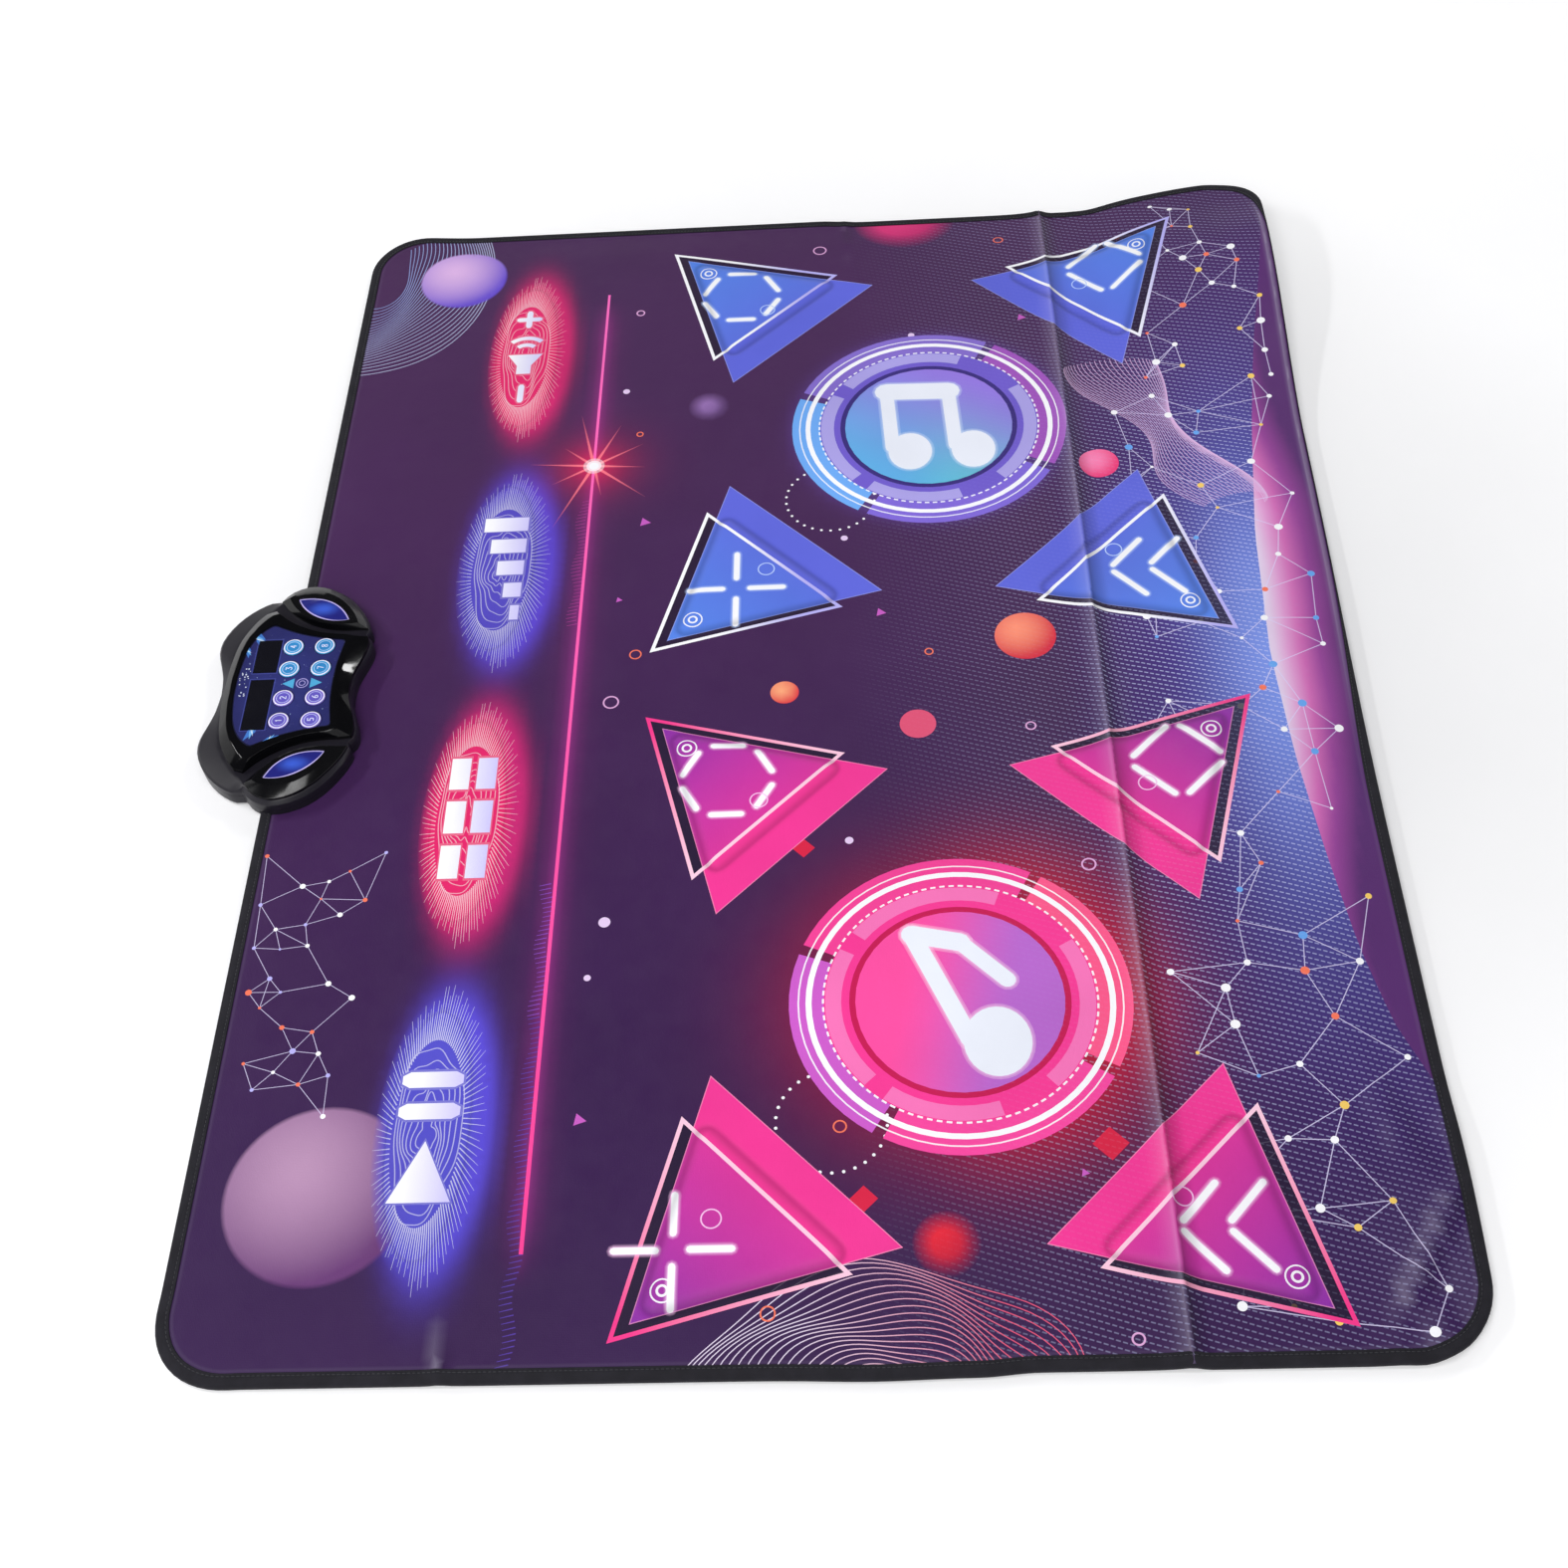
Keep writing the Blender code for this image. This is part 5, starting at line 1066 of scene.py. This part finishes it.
def build_cover(cloth):
    """The printed cloth in twelve panels, drawn down softly round the pads.
    The step pads' windows are 100 to 160 long, the setting pads' 160 to 300."""
    loops = [loop if len(loop) == 4 else softened(loop) for loop in edge_loops("cover_sheet", COVER_TOP)]
    widths = [np.ptp(loop[:, 0]) for loop in loops]
    loops = [grown(loop, -SEAM_TAKEN) if 100 < wide < 300 else loop for loop, wide in zip(loops, widths)]
    windows = [loop for loop, wide in zip(loops, widths) if 100 < wide < 160]
    ovals = [loop for loop, wide in zip(loops, widths) if 160 < wide < 300]
    def dip(x, y):
        drawn = np.zeros(len(x))
        for deep, wide, group in ((0.6, 3.0, windows), (0.2, 1.0, ovals)):
            for loop in group:
                middle = loop.mean(axis=0)
                near = np.flatnonzero(np.hypot(x - middle[0], y - middle[1]) < 125)
                if len(near):
                    drawn[near] += deep * np.exp(-(to_loops(x[near], y[near], [loop]) / wide) ** 2)
        return drawn
    seams = [looped(grown(loop, out)) for loop in windows for out in (0.8, 1.8, 3.2, 5.5)]
    xs, ys = np.linspace(-612, 612, 5), np.linspace(-452, 452, 4)
    for i, end in enumerate(("near", "mid_near", "mid_far", "far")):
        for j, side in enumerate(("right", "middle", "left")):
            low, high = np.array([xs[i], ys[j]]), np.array([xs[i + 1], ys[j + 1]])
            piece = slab(f"cover_{end}_{side}", loops, low, high, COVER_TOP, COVER_BOTTOM, cloth,
                         "mat_and_control_box", printed=True, dip=dip, extra=seams)
            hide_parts("cover_sheet")


def build_pad(name, cloth):
    """A pad's printed top. Its edge lies farther out than the flat face's, by the round of the CAD pad."""
    step_pad = name in STEP_PADS
    level, edge, thick = (PAD_TOP, 0.9, 1.84) if step_pad else (COVER_TOP, 0.3, 0.8)
    deep, wide = (1.6, 5.0) if step_pad else (0.2, 1.0)
    loop = grown(softened(edge_loops(name, level)[0]), SEAM_TAKEN + edge)
    def dip(x, y):
        return deep * np.exp(-(to_loops(x, y, [loop]) / wide) ** 2)
    piece = slab(name + "_print", [loop], loop.min(axis=0) - 1, loop.max(axis=0) + 1, level, level - thick,
                 cloth, name, printed=True, dip=dip, grid=7.0, under_grid=7.0,
                 extra=[looped(grown(loop, -into)) for into in (0.8, 1.8, 3.2, 5.0, 7.5)])
    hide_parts(name)


def build_layers():
    """The backing, the two circuit films and the foam between them, all lying as the cover lies."""
    film = circuit_film()
    foam = plain("foam", rgb(188, 188, 184), 0.9, (700, 0.6, 0.0005), wear=0.08)
    for node, name, level, top, bottom, material, slot, under in (
            ("base_sheet", "backing", 0.8, 0.8, 0.0, backing_cloth(), "backing", "floor"),
            ("lower_circuit_film", "lower_film", 1.4, 1.4, 1.1, film, "circuit_film", "base_sheet"),
            ("spacer_foam", "foam_spacer", 4.0, 4.0, 1.7, foam, "foam", "lower_circuit_film"),
            # pressed down onto the foam, clear of the pads
            ("upper_circuit_film", "upper_film", 4.6, 4.25, 4.05, film, "circuit_film", "spacer_foam")):
        loops = edge_loops(node, level)
        outer = max(loops, key=lambda loop: np.ptp(loop[:, 0]))
        piece = slab(name, loops, outer.min(axis=0) - 1, outer.max(axis=0) + 1, top, bottom, material,
                     "mat_and_control_box", grid=10.0)
        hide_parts(node)


STITCH_INSET, STITCH_LEVEL = 7.6, 7.16
STITCH_STEP, STITCH_LENGTH = 3.4, 2.6
BINDING_PROFILE = [  # distance in from the edge, height: round the outside, then back along the inside
    (9.9, 7.0), (9.4, 7.45), (8.5, 7.5), (7.6, 7.12), (6.7, 7.5), (4.0, 7.6), (1.9, 7.3), (0.6, 6.5),
    (0.0, 5.0), (0.0, 2.6), (0.5, 1.2), (1.6, 0.25), (3.5, 0.02), (9.4, 0.02), (9.9, 0.3), (9.8, 0.75),
    (1.6, 0.8), (1.4, 6.8), (9.8, 6.85)]


def build_binding():
    """The tape round the mat's edge, with its length and spread kept for the weave."""
    profile = np.array(BINDING_PROFILE)
    path, out = edge_path(0.0)
    across, runs = lengths_along(profile), lengths_along(path)
    n, m = len(path), len(profile)
    inset = profile[:, 0] * tape_width(path)
    flat = path[:, None] - out[:, None] * inset[..., None]
    points = laid(flat.reshape(-1, 2), np.tile(profile[:, 1], n))
    faces, weave = [], []
    for i in range(n):
        here, there = i * m, (i + 1) % n * m
        for k in range(m):
            onward = (k + 1) % m
            faces.append([here + k, here + onward, there + onward, there + k])
            weave += [(runs[a], across[b], 0) for a, b in ((i, k), (i, k + 1), (i + 1, k + 1), (i + 1, k))]
    piece = add_object("binding_tape", points, faces, woven("binding_tape", rgb(31, 30, 36), 0.0011))
    piece.data.attributes.new("weave", "FLOAT_VECTOR", "CORNER").data.foreach_set(
        "vector", (np.array(weave, np.float32) * MM).reshape(-1))
    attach(piece, "mat_and_control_box")
    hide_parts("edge_binding")


def tape_width(path):
    """How much of the tape's full width shows on top: less where the right edge curls down."""
    return (1 - 0.66 * curl(path[:, 0], path[:, 1])[0] * (path[:, 1] < 0))[:, None]


def build_stitches():
    """One row of lockstitches along the binding, each a thread with four rings of points."""
    path, out = edge_path(0.0, 4.0)
    path = path - out * STITCH_INSET * tape_width(path)
    runs = lengths_along(path)
    starts = np.arange(0, runs[-1] - STITCH_STEP, STITCH_STEP)
    first, last = (np.column_stack([np.interp(starts + far, runs, axis) for axis in looped(path).T])
                   for far in (0, STITCH_LENGTH))
    along = last - first
    along /= np.maximum(np.linalg.norm(along, axis=1), TINY)[:, None]
    side = np.column_stack([-along[:, 1], along[:, 0]])
    turn = 2 * math.pi * np.arange(5) / 5
    flat, level = [], []
    for share, lift, radius in ((0, -0.12, 0.17), (0.3, 0.22, 0.34), (0.7, 0.22, 0.34), (1, -0.12, 0.17)):
        spot = first * (1 - share) + last * share
        flat.append(spot[:, None] + side[:, None] * (radius * np.cos(turn))[:, None])
        level.append(STITCH_LEVEL + lift + radius * np.sin(turn))
    points = laid(np.stack(flat, axis=1).reshape(-1, 2), np.tile(np.ravel(level), len(starts)))
    shell = [[k + i, k + (i + 1) % 5, k + (i + 1) % 5 + 5, k + i + 5] for k in (0, 5, 10) for i in range(5)]
    shell += [[4, 3, 2, 1, 0], [15, 16, 17, 18, 19]]
    faces = [[base + v for v in face] for base in range(0, len(points), 20) for face in shell]
    piece = add_object("binding_stitches", points, faces,
                       plain("binding_thread", rgb(44, 44, 50), 0.6, (900, 0.2, 0.0002)))
    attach(piece, "mat_and_control_box")


# Control box

BLACK = rgb(8, 8, 11)
BOX_MIDDLE = (-16, 441)
KEY_RADIUS = 8.7


def dress(name, material, round_edge=0.0):
    """Gives a CAD node its finish, with its edges rounded a little and its curves shaded smooth."""
    node = NODES[name]
    faces = node.data.polygons
    node.data.materials.clear()
    node.data.materials.append(material)
    faces.foreach_set("use_smooth", [True] * len(faces))
    faces.foreach_set("material_index", [0] * len(faces))
    node.modifiers.new("join", "WELD").merge_threshold = 0.00001
    if round_edge:
        bevel = node.modifiers.new("round", "BEVEL")
        bevel.width, bevel.segments = round_edge * MM, 2
        bevel.limit_method, bevel.angle_limit = "ANGLE", math.radians(26)
        bevel.use_clamp_overlap = True
    node.modifiers.new("creases", "EDGE_SPLIT").split_angle = math.radians(30)
    if round_edge:
        node.modifiers.new("shade", "WEIGHTED_NORMAL").keep_sharp = True


def build_box():
    """Dresses the control box's own nodes. Only its print, keys and lenses are replaced."""
    satin = plain("satin_black", rgb(28, 26, 34), 0.34, (260, 0.02, 0.00005), wear=0.02, specular=0.25)
    gloss = plain("gloss_black", BLACK, 0.06, (260, 0.01, 0.00005), wear=0.03, specular=0.18)
    wing = plain("wing_black", BLACK, 0.17, (260, 0.01, 0.00005), wear=0.03, specular=0.3)
    smoked = plain("smoked_window", rgb(16, 16, 24), 0.14, (200, 0.02, 0.0001), wear=0.02, specular=0.3)
    board = plain("circuit_board", rgb(24, 92, 60), 0.4, (500, 0.1, 0.0001),
                  speck=(rgb(200, 168, 90), 420, 0.66))
    steel = plain("steel", rgb(176, 178, 182), 0.3, (700, 0.12, 0.0001), metallic=1.0)
    battery = plain("battery_skin", rgb(46, 52, 60), 0.35, (300, 0.06, 0.0001), wear=0.08)
    rubber = plain("rubber", rgb(52, 52, 56), 0.85, (800, 0.3, 0.0002))
    display = plain("display_block", rgb(18, 20, 26), 0.3, (500, 0.1, 0.0001))
    amber = plain("contact_film", rgb(150, 100, 60), 0.35, (400, 0.1, 0.0001))
    for material, round_edge, names in (
            (satin, 0.35, "bottom_case battery_door clamp_plate"),
            (satin, 0.4, "top_case"),
            (gloss, 0.35, "centre_trim"),
            (wing, 0.35, "left_wing_cover right_wing_cover"),
            (smoked, 0.2, "score_window song_window"),
            (board, 0.0, "main_board left_light_board right_light_board"),
            (steel, 0.12, "left_battery_contact right_battery_contact clamp_screw_1 clamp_screw_2"),
            (steel, 0.12, "case_screw_1 case_screw_2 case_screw_3 case_screw_4"),
            (steel, 0.2, "speaker"),
            (battery, 0.3, "battery_1 battery_2 battery_3"),
            (rubber, 0.0, "key_membrane"),
            (rubber, 0.4, "left_rubber_foot right_rubber_foot"),
            (display, 0.2, "display_module"),
            (amber, 0.0, "ribbon_tail")):
        for name in names.split():
            dress(name, material, round_edge)


def panel_ground(x, y):
    """The panel's blue ground, deeper away from its middle, without dashes."""
    deep = ramp(np.hypot((x - BOX_MIDDLE[0]) / 75, (y - BOX_MIDDLE[1]) / 50), 0.2, 1.1)
    return mix(rgb(46, 50, 116), rgb(38, 40, 96), deep), zero(x, y)


DIGITS = {  # strokes on a grid 2 wide and 4 high
    1: [(0.4, 3.2), (1, 4), (1, 0)],
    2: [(0, 3.3), (0.5, 4), (1.5, 4), (2, 3.3), (2, 2.6), (0, 0), (2, 0)],
    3: [(0, 4), (2, 4), (1, 2.4), (2, 1.6), (2, 0.6), (1.4, 0), (0.5, 0), (0, 0.5)],
    4: [(1.5, 0), (1.5, 4), (0, 1.3), (2.1, 1.3)],
    5: [(2, 4), (0.2, 4), (0, 2.3), (1.4, 2.4), (2, 1.7), (2, 0.7), (1.4, 0), (0, 0)],
    6: [(1.8, 4), (0.6, 3), (0, 1.6), (0, 0.7), (0.6, 0), (1.4, 0), (2, 0.7), (2, 1.4), (1.4, 2.1), (0.1, 1.8)],
    7: [(0, 4), (2, 4), (0.8, 0)],
    8: [(1, 2.1), (0.1, 2.8), (0.2, 3.7), (1, 4), (1.8, 3.7), (1.9, 2.8), (1, 2.1), (0, 1.2), (0.2, 0.3),
        (1, 0), (1.8, 0.3), (2, 1.2), (1, 2.1)],
}


def gloss_print(name, roughness=0.2, coat=0.4):
    """A printed film under a clear coat."""
    s = Shader(name)
    ink_and_painted_light = s.node("ShaderNodeAttribute", attribute_name="ink_and_painted_light").outputs["Color"]
    shade = s.blend(1.0, ink_and_painted_light, s.level(s.noise(60, 3), 0.3, 0.7, 0.94, 1.06), "MULTIPLY")
    rough = s.level(s.noise(240, 4), 0.3, 0.7, roughness - 0.05, roughness + 0.08)
    return s.set(Base_Color=shade, Roughness=rough, Coat_Weight=coat,
                 Normal=s.bump(s.noise(2500, 2), 0.05, 0.0001))


def clear_print():
    SHAPES.clear()
    GUIDES.clear()


def paint_glints(middle_x):
    """Pale blue streaks at the panel's corners and a plain ring between two wedges in its middle."""
    for (x, y), reach, turn in (((34, 471), 13, 20), ((22, 480), 8, 10), ((-66, 462), 12, -30),
                                ((-76, 446), 9, -60)):
        for part, tint in enumerate((rgb(70, 130, 214), rgb(120, 190, 244), rgb(226, 242, 255))):
            way = np.radians(turn + 24 * part)
            along = np.array([math.cos(way), math.sin(way)]) * reach * (1 - 0.24 * part)
            side = np.array([-along[1], along[0]]) * (0.3 - 0.09 * part)
            paint([[(x, y) - along, (x, y) + side, (x, y) + along, (x, y) - side]], tint, 0.8)
    x, y = middle_x, 427.4
    for way in (-1, 1):
        paint([[(x, y + way * 17), (x - 5.5, y + way * 7), (x + 5.5, y + way * 7)]], rgb(84, 178, 226), 0.9)
    ring(x, y, 5.2, 4.5, rgb(190, 180, 246), 0.95, 32)
    ring(x, y, 2.8, 2.2, rgb(190, 180, 246), 0.95, 24)


def build_panel(film):
    """The control panel's printed plate with its holes."""
    clear_print()
    loops = edge_loops("control_panel", 30.0)
    outline = max(loops, key=lambda loop: np.ptp(loop[:, 0]))
    middle = outline.mean(axis=0)
    plate = softened(outline, 1)
    paint([plate, softened(middle + (outline - middle) * 0.98, 1)], rgb(20, 22, 50), 0.9)
    draw = wander(5)
    for _ in range(26):
        x, y = -80 + 130 * next(draw), 399 + 84 * next(draw)
        disc(x, y, 0.3 + 0.3 * next(draw), rgb(190, 214, 255), 0.7, 8)
    for _ in range(22):
        disc(-30 + 34 * next(draw), 474 + 8 * next(draw), 0.35 + 0.45 * next(draw), rgb(226, 234, 255), 0.9, 8)
    paint_glints(middle[0])
    holes = [loop for loop in loops if loop is not outline]
    for i, loop in enumerate(holes):
        centre, half = middle_and_half(loop)
        if len(loop) > 8:  # a key's round hole
            ring(*centre, half[0] + 0.6, half[0], rgb(24, 26, 64), 0.8, 48)
            holes[i] = oval(*centre, half[0], half[0], 48)
        else:
            paint([box_loop(centre - half - edge, centre + half + edge) for edge in (1.0, 0.4)],
                  rgb(82, 92, 176), 0.6)
    piece = slab("panel_print", [plate, *holes], outline.min(axis=0) - 1, outline.max(axis=0) + 1, 30.0, 29.0,
                 film, "mat_and_control_box", printed=True, grid=4.0, base=panel_ground)
    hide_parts("control_panel")


def build_key(number, film):
    """A round key with its number. The keys on the near side are violet, the others blue."""
    clear_print()
    name = f"key_{number}"
    (x, y, _), _ = middle_and_half(np.array([v.co for v in NODES[name].data.vertices]) / MM)
    violet = x < BOX_MIDDLE[0]
    body = rgb(116, 98, 204) if violet else rgb(52, 156, 214)
    ring(x, y, 8.3, 7.2, rgb(236, 232, 255), 1.0, 48)
    disc(x, y, 5.4, mix(body, rgb(40, 60, 160), 0.3), 1.0, 40)
    ring(x, y, 5.7, 5.2, rgb(214, 226, 255), 0.8, 40)
    trail = [(x + (gx - 1) * 1.25, y + (gy - 2) * 1.25) for gx, gy in DIGITS[number]]
    for a, b in zip(trail, trail[1:]):
        paint([capsule(a, b, 0.75, 4)], rgb(224, 228, 255))
    def dip(px, py):
        edge = np.clip((np.hypot(px - x, py - y) - KEY_RADIUS + 0.8) / 0.8, 0, 1)
        return 0.7 * (1 - np.sqrt(1 - edge ** 2))
    def base(px, py):
        return np.tile(body, (*np.shape(px), 1)), zero(px, py)
    piece = slab(name + "_cap", [oval(x, y, KEY_RADIUS, KEY_RADIUS, 48)], (x - 10, y - 10), (x + 10, y + 10),
                 30.8, 25.4, film, name, printed=True, dip=dip, grid=2.0, base=base,
                 extra=[looped(oval(x, y, radius, radius, 48)) for radius in (8.0, 8.3, 8.5, 8.62)])
    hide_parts(name)


def build_lens(side):
    """A blue lamp lens with a pale rim, deeper blue and drawn down away from its middle."""
    clear_print()
    name = f"{side}_light_lens"
    loop = softened(edge_loops(name, 28.5)[0], 1)
    middle, half = middle_and_half(loop)
    GUIDES.extend(middle + (loop - middle) * part for part in (0.35, 0.6, 0.8))
    paint([loop, grown(loop, -1.1)], rgb(196, 184, 246), 1.0)
    def reach(x, y):
        return np.hypot((x - middle[0]) / half[0], (y - middle[1]) / half[1])
    def base(x, y):
        return mix(rgb(62, 96, 214), rgb(34, 36, 124), ramp(reach(x, y), 0.0, 0.75)), zero(x, y)
    def dip(x, y):
        return 1.2 * ramp(reach(x, y), 0.3, 1.25) ** 1.5
    piece = slab(name + "_lit", [loop], loop.min(axis=0) - 1, loop.max(axis=0) + 1, 28.6, 27.0,
                 gloss_print("lens_" + side, 0.12, 0.3), "mat_and_control_box", printed=True, dip=dip, grid=3.0,
                 base=base)
    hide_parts(name)


# Room, light and camera

LAMPS = [  # name, place, aim and size in metres, power in watts
    ("front", (-1.9, 0.7, 2.5), (0.0, 0.0, 0.0), (1.6, 1.6), 42),
    ("left", (0.4, 2.0, 1.5), (0.0, 0.1, 0.0), (1.0, 0.12), 16),
    ("near_wing", (-0.57, 0.2, 1.53), (0.3, 0.2, 0.0), (1.0, 0.16), 8),
    ("bridge", (0.75, -0.5, 1.1), (0.0, 0.39, 0.03), (0.1, 0.18), 2.8),
]
FLOOR_DROP = 0.0006  # keeps the floor clear of the mat's underside
CAMERA_PLACE = (-1.08859, -0.06440, 1.27626)  # this view shows the mat's edges as the photograph does
CAMERA_RIGHT = (0.00660, -0.99800, -0.06282)
CAMERA_UP = (0.79618, -0.03276, 0.60417)
CAMERA_AHEAD = (0.60502, 0.05401, -0.79437)
CAMERA_LENS = 45.45


def area_light(name, spot, aim, size, power):
    data = bpy.data.lights.new(name, "AREA")
    data.shape, (data.size, data.size_y), data.energy = "RECTANGLE", size, power
    lamp = bpy.data.objects.new(name, data)
    lamp.location = spot
    lamp.rotation_mode = "QUATERNION"
    lamp.rotation_quaternion = (Vector(aim) - Vector(spot)).to_track_quat("-Z", "Y")
    bpy.context.scene.collection.objects.link(lamp)


def build_floor():
    """A round white floor that curves up all round, glowing more the farther it is from the mat."""
    bowl = [(2.0, 0.0), (4.0, 0.0), (6.5, 0.0)]  # radius and height in metres
    bowl += [(6.5 + 3 * math.sin(turn), 3 * (1 - math.cos(turn))) for turn in np.linspace(0.15, math.pi / 2, 9)]
    bowl.append((9.5, 5.0))
    sides = 72
    around = np.linspace(0, 2 * math.pi, sides, endpoint=False)
    points = [(r * math.cos(a), r * math.sin(a), z - FLOOR_DROP) for r, z in bowl for a in around]
    walls = [[k + (i + 1) % sides, k + i, k + i + sides, k + (i + 1) % sides + sides]
             for k in range(0, len(points) - sides, sides) for i in range(sides)]
    s = Shader("pale_floor")
    away = s.node("ShaderNodeVectorMath", operation="LENGTH")
    s.feed(away.inputs[0], s.place())
    glow = s.math("ADD", s.level(away.outputs["Value"], 0.45, 0.8, 0.1, 0.34),
                  s.level(away.outputs["Value"], 0.8, 2.6, 0, 0.62))
    ray = s.node("ShaderNodeLightPath").outputs
    looked_at = s.math("MAXIMUM", s.math("MAXIMUM", ray["Is Camera Ray"], ray["Is Glossy Ray"]),
                       ray["Is Transmission Ray"])
    glow = s.math("MULTIPLY", glow, s.level(looked_at, 0, 1, 0.4, 1.0))
    paper = s.blend(s.level(s.noise(3, 3), 0.3, 0.7), rgb(234, 234, 236), rgb(238, 238, 240))
    s.set(Base_Color=paper, Roughness=0.9, Specular_IOR_Level=0.1, Emission_Color=(1.0, 1.0, 1.0),
          Emission_Strength=glow)
    add_object("floor", np.array(points) / MM, [list(range(sides)), *walls], s.material)


def build_light():
    world = bpy.data.worlds.new("studio")
    world.use_nodes = True
    back = world.node_tree.nodes["Background"]
    back.inputs["Color"].default_value = (1.0, 1.0, 1.0, 1.0)
    back.inputs["Strength"].default_value = 0.08
    bpy.context.scene.world = world
    for lamp in LAMPS:
        area_light(*lamp)


def build_camera():
    data = bpy.data.cameras.new("camera")
    data.sensor_width, data.lens = 36.0, CAMERA_LENS
    camera = bpy.data.objects.new("camera", data)
    turn = Matrix((CAMERA_RIGHT, CAMERA_UP, -Vector(CAMERA_AHEAD))).transposed().to_4x4()
    camera.matrix_world = Matrix.Translation(CAMERA_PLACE) @ turn
    bpy.context.scene.collection.objects.link(camera)
    bpy.context.scene.camera = camera


paint_everything()
printed_cloth = cover_vinyl()
build_cover(printed_cloth)
for pad in STEP_PADS + SETTING_PADS:
    build_pad(pad, printed_cloth)
build_layers()
build_binding()
build_stitches()
build_box()
panel_film = gloss_print("panel_film")
build_panel(panel_film)
for number in range(1, 9):
    build_key(number, panel_film)
for side in ("left", "right"):
    build_lens(side)
build_floor()
build_light()
build_camera()
bpy.context.scene.view_settings.view_transform = "Standard"
